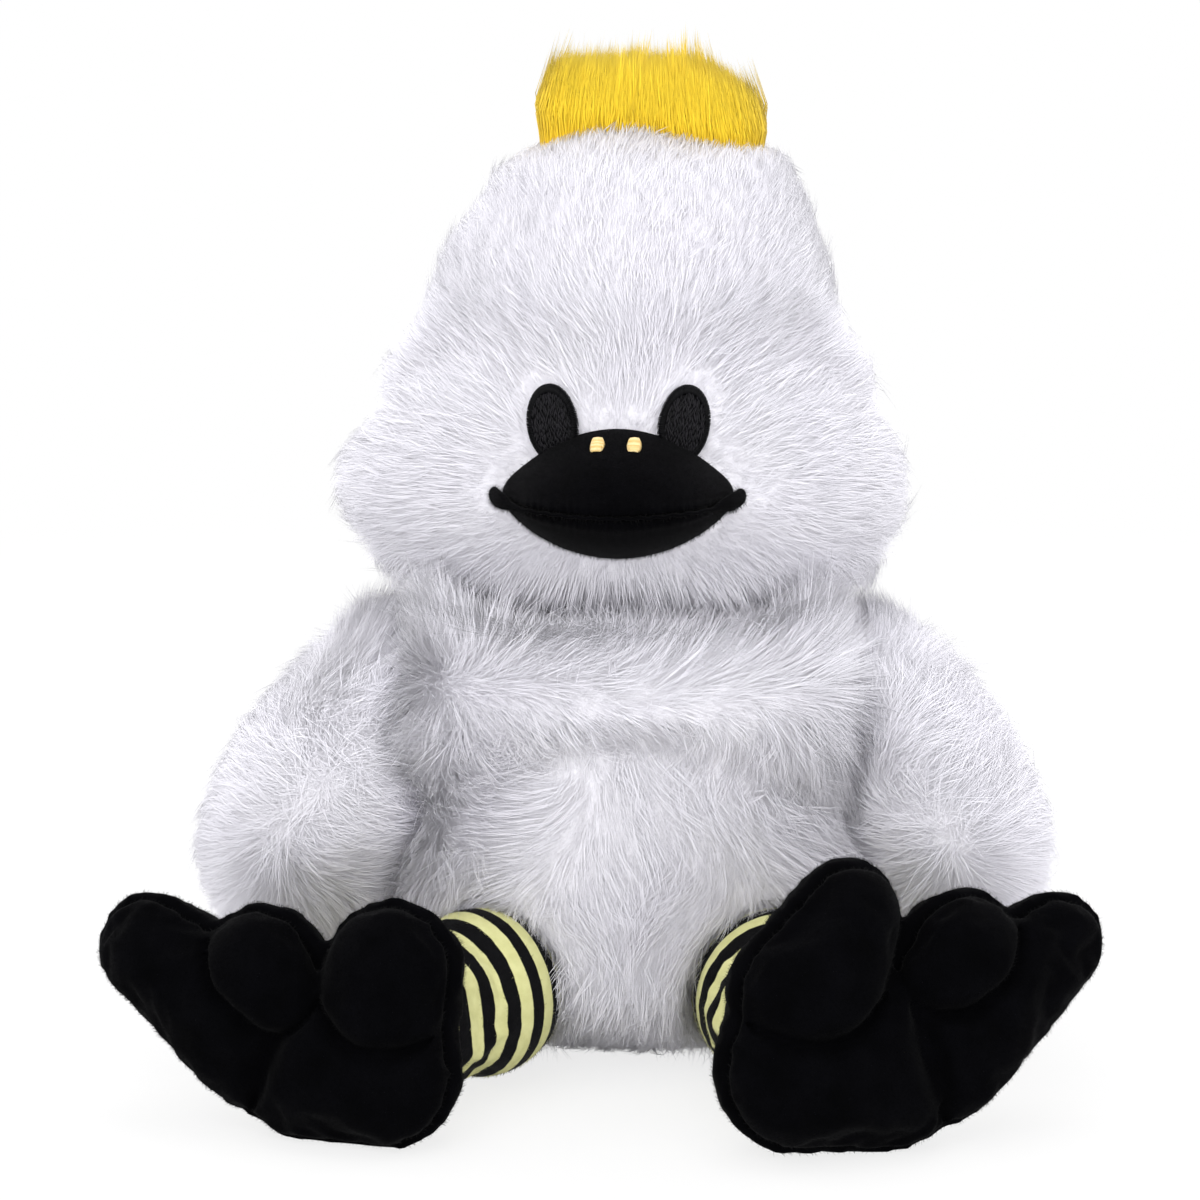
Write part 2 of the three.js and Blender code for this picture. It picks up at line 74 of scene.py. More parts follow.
# Forms, in millimetres, with the sizes of the solids.
# Stations: height, middle x, middle y, half width, depth to the front, depth to the back
BODY = [
    (-12, 0, 0, 0, 0, 0), (13, 0, 0, 58, 55, 56), (42, 0, 0, 66, 62, 64), (82, 0, 0, 59, 56, 58),
    (96, 0, 0, 58, 55, 56), (112, 0, 0, 46, 44, 46), (124, 0, 0, 0, 0, 0),
]
HEAD = [
    (104, 0, 0, 0, 0, 0), (115, 0, 0, 56, 39, 47), (126, 0, 0, 68.5, 47.5, 54), (138, 0, 0, 71.5, 53, 57),
    (150, 0, 0, 69.5, 53, 58), (162, 0, 0, 61, 52, 58), (175, 0, 0, 52, 49, 55), (188, 0, 0, 48, 46, 52),
    (200, 0, 0, 44.5, 41.5, 47.5), (212, 0, 0, 39.5, 36, 41), (221, 0, 0, 31, 28, 32), (230, 0, 0, 0, 0, 0),
]
WING = [
    (20, 80, -8, 0, 0, 0), (30, 80, -8, 22, 28, 26), (52, 78, -8, 30, 41, 40), (70, 74, -8, 29, 40, 39),
    (88, 67, -8, 24, 34, 34), (100, 61, -8, 18, 26, 27), (109, 61, -8, 0, 0, 0),
]
NECK, NECK_RADIUS = np.array([0, 0, 112]), 24
HIP_RADIUS, LEG_RADIUS, ANKLE_RADIUS, SOCKET_GAP = 21.5, 17.5, 19, 0.9
HEAD_TURN = math.radians(-2.7)
HEAD_FLOOR, BODY_ROOF = 115, 109  # where the two skins end, either side of the neck
SEAT_FLOOR = 1.5  # of the body's skin above the ground

# Long pile on skins that lie under the solids' surface, less deep on the crown.
# Lift is how far the pile stands off its skin: 0 lies flat, 1 stands up
SKIN_DEPTH, CROWN_DEPTH = 5.5, 1.0
HEAD_GRID, BODY_GRID, WING_GRID, CREST_GRID = (160, 120), (160, 110), (96, 80), (48, 60)  # columns and rows
CROWN_LEAN, CROWN_FALL = 2.4, 3  # the crown leans to the goose's left, and falls away on its right
SHOULDER_RISE, CHEEK_RISE, ROLL_RISE = 4, 3, 4.5  # over the cheeks, on the right cheek, and on the chest
PILE_LENGTH, FUR_LENGTH, WING_FUR_LENGTH = 10.5, 12.5, 13
HEAD_LIFT, BODY_LIFT = 0.29, 0.28
FINE = {"clump": 3, "spread": 1.0, "gather": 0.2, "bent": False}  # dense short pile
LOCKS = {"clump": 6, "gather": 0.3}  # longer locks over it
HEAD_GATHER = 0.25  # at most, because the head's locks are looser
PILE_FLOOR = 0.4  # no pile lies lower than this
STRANDS = {  # of each piece of pile, short pile on the beak, legs and feet included
    "pile": 49000, "fur": 19500, "wing_pile": 45000, "wing_fur": 16000, "beak": 9000, "seam": 2400, "leg": 14000,
    "foot": 16000,
}

# Beak: sections across, from corner to corner, as shares of its half sizes
BEAK_MIDDLE = np.array([0, -47.2, 145])
BEAK_HALF_WIDTH, BEAK_HALF_HEIGHT, BEAK_REACH, BEAK_BACK, BEAK_POWER = 29.5, 15.5, 34, 20, 1.6
BEAK_SECTIONS = [
    (-1, 0, 0), (-0.78, 0.46, 0.6), (-0.4, 0.86, 0.9), (0, 1, 1), (0.4, 0.86, 0.9), (0.78, 0.46, 0.6), (1, 0, 0),
]
MOUTH_DROP, MOUTH_GAP, BEAK_POINT = 0.4, 0.2, 2.0
BEAK_INSET = 4.0  # of its back behind the surface of the head, in the pile
BILL_ROWS, BILL_ARC, BILL_FLAT, BILL_WRAP = 150, 64, 18, math.radians(125)
GATHER_DEPTH, SEAM_DEPTH, LIP_RISE = 0.22, 0.9, 0.5  # small folds, line and rim along the mouth
SEAM_ROWS, SEAM_COLUMNS = 90, 14
BEAK_PILE = {"length": 1.1, "lift": 0.6, "clump": 3, "gather": 0.3, "spread": 0.3, "width": 0.06, "bent": False}
SEAM_PILE = {**BEAK_PILE, "length": 1.3, "lift": 0.7, "clump": 1, "gather": 0, "spread": 0.1}

# Embroidery
EYE_SPREAD, EYE_HEIGHT, EYE_HALF_WIDTH, EYE_HALF_HEIGHT = 16.5, 162, 6, 9.2
EYE_LEAN = math.radians(10)
EYE_OUT, EYE_DOME, EYE_ROOT = -3.3, 1.0, -6.0  # of the edge, the middle and the back, from the solid's surface
RIM_STITCHES, NOSTRIL_STITCHES, THREAD_SIDES = 130, 13, 6
EYE_THREAD, RIM_THREAD, NOSTRIL_THREAD = 0.2, 0.22, 0.24  # half thickness
NOSTRIL_SPREAD, NOSTRIL_HALF_WIDTH, NOSTRIL_HALF_HEIGHT, NOSTRIL_TILT = 4.3, 1.4, 2.1, math.radians(50)

# Crest: a strip across the crown with an upright brush on it.
# Sections of the strip, as shares of its half length, droop, half height and half depth
CREST_MIDDLE = np.array([6, 0, 224])
CREST_HALF_LENGTH, CREST_DROOP, CREST_HALF_HEIGHT, CREST_HALF_DEPTH = 27, 5, 8, 9.5
CREST_SECTIONS = [
    (-1, -0.4, 0, 0), (-0.7, 0.1, 0.76, 0.84), (0, 0.2, 1, 1), (0.7, -0.5, 0.86, 0.9), (1, -1, 0, 0),
]
CREST_TOP, CREST_FALL, CREST_FAN = 245.5, 10.5, 0.92
CREST_LOCKS = {"pile": (6000, 8), "fur": (1600, 12)}  # locks, and strands in each
CREST_STRAND, CREST_TALL = 0.12, (2, 6.5)  # half thickness of a strand, and how far a few locks stand out

# Stuffed cloth
CLOTH_VOXEL, CLOTH_PRESSURE, CLOTH_FRAMES = 2.4, 4.0, 20
CLOTH_MASS, CLOTH_SLACK = 0.0004, -0.06  # of each point in kilograms, and the share by which the cloth is loose
BAND, BAND_START = 3.8, 2.0  # width of a stripe along the leg, and where the first one starts
LEG_SWELL, LEG_CLEAR = 1.2, 19  # of the cloth at most, and how far from its axis the body's pile starts
LEG_SAG = {"left": 5.0, "right": 2.5}  # how far the tube bulges towards the other leg
FOOT_YAW, FOOT_PITCH, ANKLE_TO_SEAM = math.radians(18), math.radians(8), 20
# Pads of each foot, as the hull of two circles: outward, up and radius, twice, then the bulge of the sole.
# The heel runs into the outer toe, and the other two toes sit on it as puffs of their own.
PADS = {
    "left": [((-16, -2, 19), (6, -4, 18.5), 11), ((48.5, 21, 11), (18, -1, 17), 11),
             ((25, 21, 13.5), (20, 16, 12), 13), ((-2.5, 33, 10.5), (-14, 14, 17), 13)],
    "right": [((-12, -5, 18), (6, -6, 17), 11), ((47, 18, 12), (18, -1, 16.5), 11),
              ((18.5, 16, 13.5), (12, 9, 11), 13), ((-14, 18, 15), (-13, 9, 15), 13)],
}
PAD_COLUMNS, PAD_ROWS = 110, 20
UPPER_BULGE, UPPER_EDGE = 14.5, 1.8  # how far the back panel swells, and shows past the sole's seam
SOLE_BACK = 0.6  # how far the sole goes behind its seam
FOOT_SWELL, FOOT_CREASE = 2.5, 3.5  # of the cloth at most, and depth of the folds between the toes
LEG_FLOOR, FOOT_FLOOR = 0.6, 0.3  # no cloth lies lower than this
LEG_FUZZ, FOOT_FUZZ = 1.1, 1.3  # length of the short pile on the cloth
FUZZ_LIFT, FUZZ_WIDTH, FUZZ_FLOOR = 0.55, 0.06, 0.1

rng = np.random.default_rng(11)


# Small tools

def unit(vectors):
    return vectors / np.maximum(np.linalg.norm(vectors, axis=-1, keepdims=True), 1e-9)


def turned(points, angle=HEAD_TURN):
    """Points turned about the upright axis, as the head is."""
    c, s = math.cos(angle), math.sin(angle)
    return points @ np.array([[c, s, 0], [-s, c, 0], [0, 0, 1]])


def ramp(value, low, high):
    t = np.clip((value - low) / (high - low), 0, 1)
    return t * t * (3 - 2 * t)


def bell(value, width):
    return np.exp(-((value / width) ** 2))


def round_angles(count):
    return 2 * math.pi * np.arange(count) / count


def waves(points, size, seed):
    """Smooth seeded noise from about -1 to 1, whose bumps are about size apart."""
    draw, count = np.random.default_rng(seed), 7
    ways = unit(draw.normal(size=(count, 3))) * (2 * math.pi / size) * draw.uniform(0.6, 1.4, (count, 1))
    phases = draw.uniform(0, 2 * math.pi, count)
    return np.sin(points @ ways.T + phases).sum(-1) / math.sqrt(count)


def smooth(values, rows, end):
    """Rows through stations. The stations next to the ends are mirrored past them, times end."""
    v = np.vstack([end * values[1], values, end * values[-2]])
    place = np.linspace(0, len(values) - 1, rows)
    i = np.minimum(place.astype(int), len(values) - 2)
    f = (place - i)[:, None]
    a, b, c, d = v[i], v[i + 1], v[i + 2], v[i + 3]
    start, finish = (c - a) / 2, (d - b) / 2
    return ((2 * f**3 - 3 * f**2 + 1) * b + (f**3 - 2 * f**2 + f) * start
            + (3 * f**2 - 2 * f**3) * c + (f**3 - f**2) * finish)


def plump(stations, columns, rows, across=False):
    """The points of a stuffed form: rows of rounded rings that swell through its stations."""
    s = np.array(stations, float)
    place, half = smooth(s[:, :3], rows, 1), smooth(s[:, 3:], rows, -1)
    c, d = np.cos(round_angles(columns)), np.sin(round_angles(columns))
    x = place[:, 1:2] + half[:, 0:1] * c
    y = place[:, 2:3] + np.where(d < 0, half[:, 1:2], half[:, 2:3]) * d
    z = np.repeat(place[:, 0:1], columns, 1)
    return np.stack([z, y, -x] if across else [x, y, z], -1)


def lean(vectors, normals, share):
    """Ways that lie along vectors on a surface, raised towards its normals by a share."""
    flat = unit(vectors - (vectors * normals).sum(-1, keepdims=True) * normals)
    return unit(normals * share[:, None] + flat * np.sqrt(1 - share**2)[:, None])


def pressed(points, centre, radius, way):
    """Points with a round hollow pressed into them, along a way."""
    off = points - centre
    along = off @ way
    beside = (off**2).sum(-1) - along**2
    deep = np.sqrt(np.maximum(radius**2 - beside, 0))
    return points + np.where(beside < radius**2, np.maximum(deep - along, 0), 0)[..., None] * way


class Skin:
    """A surface of rows of points, closed round the columns."""

    def __init__(self, points):
        self.points = points
        self.rows, self.columns = points.shape[:2]
        self.measure()

    def measure(self):
        p = self.points
        n = np.cross(np.roll(p, -1, 1) - np.roll(p, 1, 1), np.gradient(p, axis=0))
        n[0], n[-1] = n[1].mean(0), n[-2].mean(0)
        self.normals = unit(n)

    def swell(self, distance):
        self.points = self.points + self.normals * np.asarray(distance)[..., None]
        self.measure()
        return self

    def at(self, u, v):
        """Points and normals at columns u and rows v."""
        v = np.clip(v, 0, self.rows - 1.001)
        i, j = v.astype(int), np.floor(u).astype(int)
        fv, fu = (v - i)[:, None], (u - j)[:, None]
        j, k = j % self.columns, (j + 1) % self.columns

        def mix(a):
            low, high = (a[row, j] * (1 - fu) + a[row, k] * fu for row in (i, i + 1))
            return low * (1 - fv) + high * fv
        return mix(self.points), unit(mix(self.normals))

    def scatter(self, count, weight):
        """Places spread over the surface, as dense as weight says, and the size of a cell at each."""
        p, q = self.points[:-1], self.points[1:]
        across, along = np.roll(p, -1, 1) - p, q - p
        area = np.linalg.norm(np.cross(across, along), axis=-1)
        share = (area * weight((p + q) / 2, self.normals[:-1])).ravel().cumsum()
        pick = np.searchsorted(share, (np.arange(count) + rng.random(count)) / count * share[-1])
        pick = np.minimum(pick, area.size - 1)
        u, v = pick % self.columns + rng.random(count), pick // self.columns + rng.random(count)
        return u, v, *(np.linalg.norm(side, axis=-1).ravel()[pick] for side in (across, along))


# Materials

Look = namedtuple("Look", "material slot")


class Nodes:
    """Short calls for the nodes of a tree."""

    def __init__(self, tree):
        self.tree = tree

    def give(self, node, inputs):
        """Sets a node's inputs, or links them to other nodes' outputs."""
        for key, value in inputs.items():
            if isinstance(value, bpy.types.NodeSocket):
                self.tree.links.new(value, node.inputs[key])
            else:
                node.inputs[key].default_value = value

    def node(self, kind, inputs, **settings):
        made = self.tree.nodes.new("ShaderNode" + kind)
        for key, value in settings.items():
            setattr(made, key, value)
        self.give(made, inputs)
        return made

    def maths(self, operation, *values, **settings):
        return self.node("Math", dict(enumerate(values)), operation=operation, **settings).outputs["Value"]

    def seen_directly(self):
        """1 for a ray that the camera sees, straight or by a mirror or glass."""
        rays = self.node("LightPath", {}).outputs
        total = rays["Is Camera Ray"]
        for kind in ("Is Glossy Ray", "Is Transmission Ray"):
            total = self.maths("ADD", total, rays[kind], use_clamp=True)
        return total


class Material(Nodes):
    """A node material with one Principled shader."""

    def __init__(self, name, **sockets):
        self.material = bpy.data.materials.new(name)
        self.material.use_nodes = True
        super().__init__(self.material.node_tree)
        self.shader = self.tree.nodes["Principled BSDF"]
        self.give(self.shader, {key.replace("_", " "): value for key, value in sockets.items()})

    def painted(self, colour):
        self.give(self.shader, {"Base Color": colour})
        return self.material

    def attribute(self, name):
        return self.node("Attribute", {}, attribute_name=name).outputs["Fac"]

    def place(self):
        return self.node("TexCoord", {}).outputs["Object"]

    def noise(self, scale, detail=3.0):
        return self.node("TexNoise", {"Vector": self.place(), "Scale": scale, "Detail": detail}).outputs["Fac"]

    def colours(self, value, *stops):
        made = self.node("ValToRGB", {"Fac": value})
        band = made.color_ramp
        while len(band.elements) < len(stops):
            band.elements.new(1)
        for element, (place, colour) in zip(band.elements, stops):
            element.position, element.color = place, (*colour, 1)
        return made.outputs["Color"]

    def mixed(self, share, a, b, blend="MIX"):
        return self.node("Mix", {0: share, 6: a, 7: b}, data_type="RGBA", blend_type=blend).outputs[2]

    def bump(self, height, strength):
        made = self.node("Bump", {"Height": height, "Strength": strength, "Distance": 0.0003})
        self.give(self.shader, {"Normal": made.outputs["Normal"]})


def fur_look(name, slot, root, middle, tip, shade, **sockets):
    """Pile that changes colour from its roots to its tips, with broad soft patches."""
    made = Material(name, Roughness=0.8, **sockets)
    along = made.colours(made.attribute("tone"), (0, root), (0.5, middle), (1, tip))
    patch = made.node("MapRange", {"Value": made.noise(38), "From Min": 0.35, "From Max": 0.7, "To Max": 0.6})
    return Look(made.painted(made.mixed(patch.outputs["Result"], along, (*shade, 1), "MULTIPLY")), slot)


def cloth_look(name, slot, low, high, patches, weave, depth, **sockets):
    """Cloth that changes colour in patches, over a fine weave or short pile."""
    made = Material(name, **sockets)
    made.bump(made.noise(weave, 2), depth)
    return Look(made.painted(made.colours(made.noise(*patches), (0.3, low), (0.7, high))), slot)


def thread_look(name, slot, low, high, roughness, shine):
    """Twisted rayon: bright along the thread, with the thread's own small shade."""
    made = Material(name, Roughness=roughness, Specular_IOR_Level=shine)
    shade = made.colours(made.attribute("tone"), (0, low), (1, high))
    return Look(made.painted(made.mixed(made.noise(1500, 1), shade, (0.8, 0.8, 0.8, 1), "MULTIPLY")), slot)


def stripe_look(name):
    """Bands round the leg, from the distance along it, with slightly wavy edges."""
    black, white = (0, 0, 0), (1, 1, 1)
    made = Material(name, Roughness=0.85, Sheen_Weight=0.04, Sheen_Roughness=0.4, Specular_IOR_Level=0.08)
    wavy = made.maths("MULTIPLY_ADD", made.noise(220), 0.6, made.attribute("along"))
    part = made.maths("FRACT", made.maths("DIVIDE", wavy, 2 * BAND))
    band = made.colours(part, (0, black), (0.47, black), (0.5, white), (0.97, white), (1, black))
    soft = made.noise(300)
    dark = made.colours(soft, (0.3, (0.0025, 0.0025, 0.003)), (0.7, (0.005, 0.005, 0.006)))
    yellow = made.colours(soft, (0.3, (0.66, 0.65, 0.30)), (0.7, (0.76, 0.75, 0.38)))
    made.bump(made.noise(1800, 2), 0.4)
    return Look(made.painted(made.mixed(band, dark, yellow)), name)


# The white pile is painted lighter at its roots and darker at its tips: painted light that offsets the shade deep in
# the pile.
WHITE_FUR = fur_look("white_fur", "white_fur", (0.95, 0.937, 0.995), (0.915, 0.902, 0.965), (0.862, 0.848, 0.918),
                     (0.97, 0.965, 0.985), Sheen_Weight=0.15, Sheen_Roughness=0.5, Specular_IOR_Level=0.3)
YELLOW_FUR = fur_look("yellow_fur", "yellow_fur", (1.0, 0.62, 0.012), (1.0, 0.69, 0.02), (1.0, 0.74, 0.035),
                      (1.0, 0.97, 0.9), Sheen_Weight=0.1, Sheen_Roughness=0.5)
BLACK_PILE = fur_look("black_pile", "black_plush", (0.0005, 0.0005, 0.0008), (0.001, 0.001, 0.0014),
                      (0.002, 0.002, 0.0028), (0.7, 0.7, 0.75), Sheen_Weight=0.018, Sheen_Roughness=0.4,
                      Specular_IOR_Level=0.03)
WOVEN = {"patches": (900, 2), "weave": 900, "depth": 0.5, "Roughness": 0.95}
# The white backing is painted a little darker than the pile's roots: painted shade, like that deep in the pile, where
# the backing shows through.
WHITE_BACKING = cloth_look("white_backing", "white_fur", (0.885, 0.872, 0.93), (0.915, 0.902, 0.955), **WOVEN)
YELLOW_BACKING = cloth_look("yellow_backing", "yellow_fur", (0.75, 0.32, 0.01), (0.88, 0.48, 0.015), **WOVEN)
BLACK_PLUSH = cloth_look("black_plush", "black_plush", (0.0006, 0.0006, 0.0009), (0.0014, 0.0014, 0.002), (120, 4),
                         2200, 0.4, Roughness=0.85, Sheen_Weight=0.016, Sheen_Roughness=0.4,
                         Specular_IOR_Level=0.02)
EYE_FILL = thread_look("eye_fill", "black_thread", (0.005, 0.005, 0.006), (0.013, 0.012, 0.015), 0.42, 0.12)
EYE_RIM = thread_look("eye_rim", "black_thread", (0.0015, 0.0015, 0.002), (0.004, 0.004, 0.005), 0.42, 0.08)
GOLD_THREAD = thread_look("gold_thread", "gold_thread", (0.80, 0.52, 0.15), (0.95, 0.76, 0.40), 0.35, 0.5)
STRIPES = stripe_look("striped_knit")


# Meshes and pieces

def make_mesh(name, points, faces, sizes):
    """A mesh from points in millimetres, and faces as one run of point numbers with their sizes."""
    mesh = bpy.data.meshes.new(name)
    mesh.vertices.add(len(points))
    mesh.vertices.foreach_set("co", (points * MM).astype(np.float32).ravel())
    mesh.loops.add(len(faces))
    mesh.loops.foreach_set("vertex_index", faces.astype(np.int32))
    mesh.polygons.add(len(sizes))
    mesh.polygons.foreach_set("loop_start", np.concatenate([[0], np.cumsum(sizes)[:-1]]).astype(np.int32))
    mesh.polygons.foreach_set("use_smooth", np.ones(len(sizes), bool))
    mesh.update(calc_edges=True)
    return mesh


def set_attribute(mesh, name, values):
    attribute = mesh.attributes.new(name, "FLOAT", "POINT")
    attribute.data.foreach_set("value", np.asarray(values, np.float32).ravel())


def make_object(name, mesh, look):
    piece = bpy.data.objects.new(name, mesh)
    bpy.context.scene.collection.objects.link(piece)
    mesh.materials.append(look.material)
    return piece


def finish_piece(piece, look, body, *nodes, fill=None):
    """Rides a piece on its body and hides the solids it stands for. fill, how full it is, is not used."""
    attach(piece, body)
    if nodes:
        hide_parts(*nodes)


def skin_faces(skin):
    """Points, faces and face sizes of a closed skin, with its first and last rows drawn together."""
    rows, columns = skin.rows, skin.columns
    points = np.vstack([skin.points[0].mean(0), skin.points[1:-1].reshape(-1, 3), skin.points[-1].mean(0)])
    grid = 1 + np.arange((rows - 2) * columns).reshape(rows - 2, columns)
    beside = np.roll(grid, -1, 1)
    quads = np.stack([grid[:-1], beside[:-1], beside[1:], grid[1:]], -1)
    low = np.stack([np.zeros(columns, int), beside[0], grid[0]], -1)
    top = np.stack([np.full(columns, len(points) - 1), grid[-1], beside[-1]], -1)
    sizes = np.repeat([4, 3], [(rows - 3) * columns, 2 * columns])
    return points, np.concatenate([quads.ravel(), low.ravel(), top.ravel()]), sizes


def skin_piece(name, skin, look, body, *nodes, fill=None):
    finish_piece(make_object(name, make_mesh(name, *skin_faces(skin)), look), look, body, *nodes, fill=fill)


def ring_faces(sides, rings):
    """The sides of a tube of rings."""
    return [(r * sides + k, r * sides + (k + 1) % sides, (r + 1) * sides + (k + 1) % sides, (r + 1) * sides + k)
            for r in range(rings - 1) for k in range(sides)]


def tubes(name, points, faces):
    """A mesh of tubes: their points in turn, one of each tube at a time, and the faces of one tube."""
    count, per = len(points[0]), len(points)
    pattern = np.array([i for face in faces for i in face])
    numbers = (np.arange(count)[:, None] * per + pattern).ravel()
    return make_mesh(name, np.stack(points, 1).reshape(-1, 3), numbers, np.tile([len(face) for face in faces], count))


def needles(name, path, normal, radius, soft, look, body, **attributes):
    """Closed three-sided needles. path is rings of points from root to tip, one point per needle each;
    the shading normal leans from the needle's own towards the skin's by soft."""
    count, rings = len(path[0]), len(path) - 1
    points, normals = [], []
    for ring in range(rings):
        way = unit(path[ring + 1] - path[max(ring - 1, 0)])
        u = unit(np.cross(way, normal) + 1e-6)
        v = np.cross(way, u)
        for angle in np.radians([90, 210, 330]):
            out = math.cos(angle) * u + math.sin(angle) * v
            points.append(path[ring] + out * radius[ring][:, None])
            normals.append(unit((1 - soft) * out + soft * normal))
    points.append(path[-1])
    normals.append(unit(normal + 0.3 * unit(path[-1] - path[-2])))
    tip = 3 * rings
    sides = ring_faces(3, rings) + [(tip - 3 + k, tip - 3 + (k + 1) % 3, tip) for k in range(3)]
    mesh = tubes(name, points, sides + [(2, 1, 0)])
    mesh.normals_split_custom_set_from_vertices(np.stack(normals, 1).reshape(-1, 3).astype(np.float32))
    for key, values in attributes.items():
        set_attribute(mesh, key, values)

    # A cell of the baking map for each needle: its sides next to each other, root to tip upward
    places = [(k / 3, r / rings) for r in range(rings) for k in range(3)] + [(0.5, 1)]
    flat = []
    for face in sides:
        closing = max(places[i][0] for i in face) > 0.5
        flat += [(1 if closing and places[i][0] == 0 else places[i][0], places[i][1]) for i in face]
    flat += [(0.3, 0), (0.15, 0.08), (0, 0)]
    cells = math.ceil(math.sqrt(count))
    corner = np.stack([np.arange(count) % cells, np.arange(count) // cells], -1)
    map_points = (corner[:, None] + 0.1 + 0.8 * np.array(flat)[None]) / cells
    mesh.uv_layers.new(name="OFBake").uv.foreach_set("vector", map_points.astype(np.float32).ravel())
    finish_piece(make_object(name, mesh, look), look, body)


def strands(name, path, normal, width, bend, soft, look, body):
    """Needles along a path of two or three points. bend is their share of thickness and tone in the middle."""
    thick = width * rng.uniform(0.8, 1.2, len(path[0]))
    tone = [0, 0, 0] + 3 * (len(path) - 2) * [bend[1]] + [1]
    tone = 0.8 * np.array(tone) + 0.2 * rng.random(len(path[0]))[:, None]
    needles(name, path, normal, [thick, bend[0] * thick], soft, look, body, tone=tone)


def grow(name, skin, count, look, body, comb, weight, length, lift, clump, gather, spread=1.8, stray=0.2,
         width=0.08, trim=None, bent=True):
    """Long pile on a skin: locks of strands that share a tip and lie the way that comb says."""
    locks = count // clump
    u, v, across, along = skin.scatter(locks, weight)
    at, out = skin.at(u, v)
    way = comb(at) + stray * rng.normal(size=at.shape)
    rise = np.clip((lift(at) if callable(lift) else lift) + 0.07 * rng.normal(size=locks), 0.12, 0.97)
    long = (length(at) if callable(length) else length) * rng.uniform(0.85, 1.15, locks)

    each = np.repeat(np.arange(locks), clump)
    r, angle = spread * np.sqrt(rng.random(len(each))), rng.uniform(0, 2 * math.pi, len(each))
    root, normal = skin.at(u[each] + r * np.cos(angle) / across[each], v[each] + r * np.sin(angle) / along[each])
    size = long[each] * rng.uniform(0.75, 1.1, len(each))
    if trim is not None:
        size = size * trim(root)
        kept = size > 0.5
        each, root, normal, size = each[kept], root[kept], normal[kept], size[kept]

    tangle = way[each] + 0.1 * rng.normal(size=root.shape)
    mine = root + size[:, None] * lean(tangle, normal, rise[each])
    shared = at[each] + size[:, None] * lean(way[each], out[each], rise[each])
    tip = mine + gather * (shared - mine) + 0.25 * rng.normal(size=root.shape)
    middle = root + 0.5 * (tip - root) + normal * (size * 0.13 * (1 - rise[each]) + 0.02 * size)[:, None]
    for points in (root, middle, tip):
        points[:, 2] = np.maximum(points[:, 2], PILE_FLOOR)
    path = [root - 0.8 * normal, middle, tip] if bent else [root - 0.8 * normal, tip]
    strands(name, path, normal, width, (0.8, 0.55), 1.0, look, body)


# Skins under the pile

def section(stations, z):
    """Half width, depth to the front and depth to the back of a form at some heights."""
    s = np.array(stations, float)
    place, half = smooth(s[:, :1], 400, 1)[:, 0], smooth(s[:, 3:], 400, -1)
    return np.stack([np.interp(z, place, half[:, i]) for i in range(3)], -1)


def inside(stations, points, depth=0.0):
    """Below 1 inside a form that is set in by a depth, 1 on its surface."""
    half = np.maximum(section(stations, points[..., 2]) - depth, 0.1)
    deep = np.where(points[..., 1] < 0, half[..., 1], half[..., 2])
    return np.hypot(points[..., 0] / half[..., 0], points[..., 1] / deep)


def head_frame(points):
    """Points in the head's own frame, before its small turn."""
    return turned(points, -HEAD_TURN)


def eye_frame(a, b, side):
    """Turns a place on the face by the lean of an eye."""
    c, s = math.cos(EYE_LEAN), side * math.sin(EYE_LEAN)
    return a * c + b * s, b * c - a * s


def nearest_eye(points):
    """How far out of the eyes' ovals a point of the face is: 1 on an edge."""
    far = []
    for side in SIDES.values():
        x, z = eye_frame(points[..., 0] - side * EYE_SPREAD, points[..., 2] - EYE_HEIGHT, -side)
        far.append(np.hypot(x / EYE_HALF_WIDTH, z / EYE_HALF_HEIGHT))
    return np.minimum(*far)


def beak_distance(points):
    """How far out of the beak's outline a point of the face is: 1 on its edge."""
    share = np.abs(points[..., 0]) / BEAK_HALF_WIDTH
    high = np.abs(points[..., 2] - BEAK_MIDDLE[2]) / BEAK_HALF_HEIGHT
    return (share**1.5 + high**1.5) ** (1 / 1.5)


def leg_axis(name):
    """The middles of a leg's hip and ankle."""
    return [np.array(JOINTS[joint]["pos_m"]) / MM for joint in (f"leg_{name}_swing", f"foot_{name}_tilt")]


def head_skin():
    skin = Skin(plump(HEAD, *HEAD_GRID))
    p = skin.points
    front = ramp(-p[..., 1], 10, 30)
    # The pile is shorter on the crown, so the skin lies nearer to the surface there
    crown = ramp(p[..., 2], 160 + 14 * front, 178 + 14 * front)
    skin.swell(crown * (SKIN_DEPTH - CROWN_DEPTH) - SKIN_DEPTH)
    p = skin.points
    shoulder = bell(np.abs(p[..., 0]) - 56, 14) * bell(p[..., 2] - 167, 9)
    cheek = np.exp(-(((p - np.array([-68, -10, 140])) / [20, 40, 14]) ** 2).sum(-1))
    skin.swell(0.8 * (1 - front) * waves(p, 45, 3) + CHEEK_RISE * cheek + SHOULDER_RISE * shoulder)
    p = skin.points
    p[..., 0] += CROWN_LEAN * ramp(p[..., 2], 165, 195)
    skin.swell(-CROWN_FALL * ramp(p[..., 2], 196, 212) * ramp(-p[..., 0], 12, 34))
    skin.points[..., 2] = np.maximum(skin.points[..., 2], HEAD_FLOOR)
    return Skin(pressed(turned(skin.points), NECK, NECK_RADIUS + SOCKET_GAP, UP))


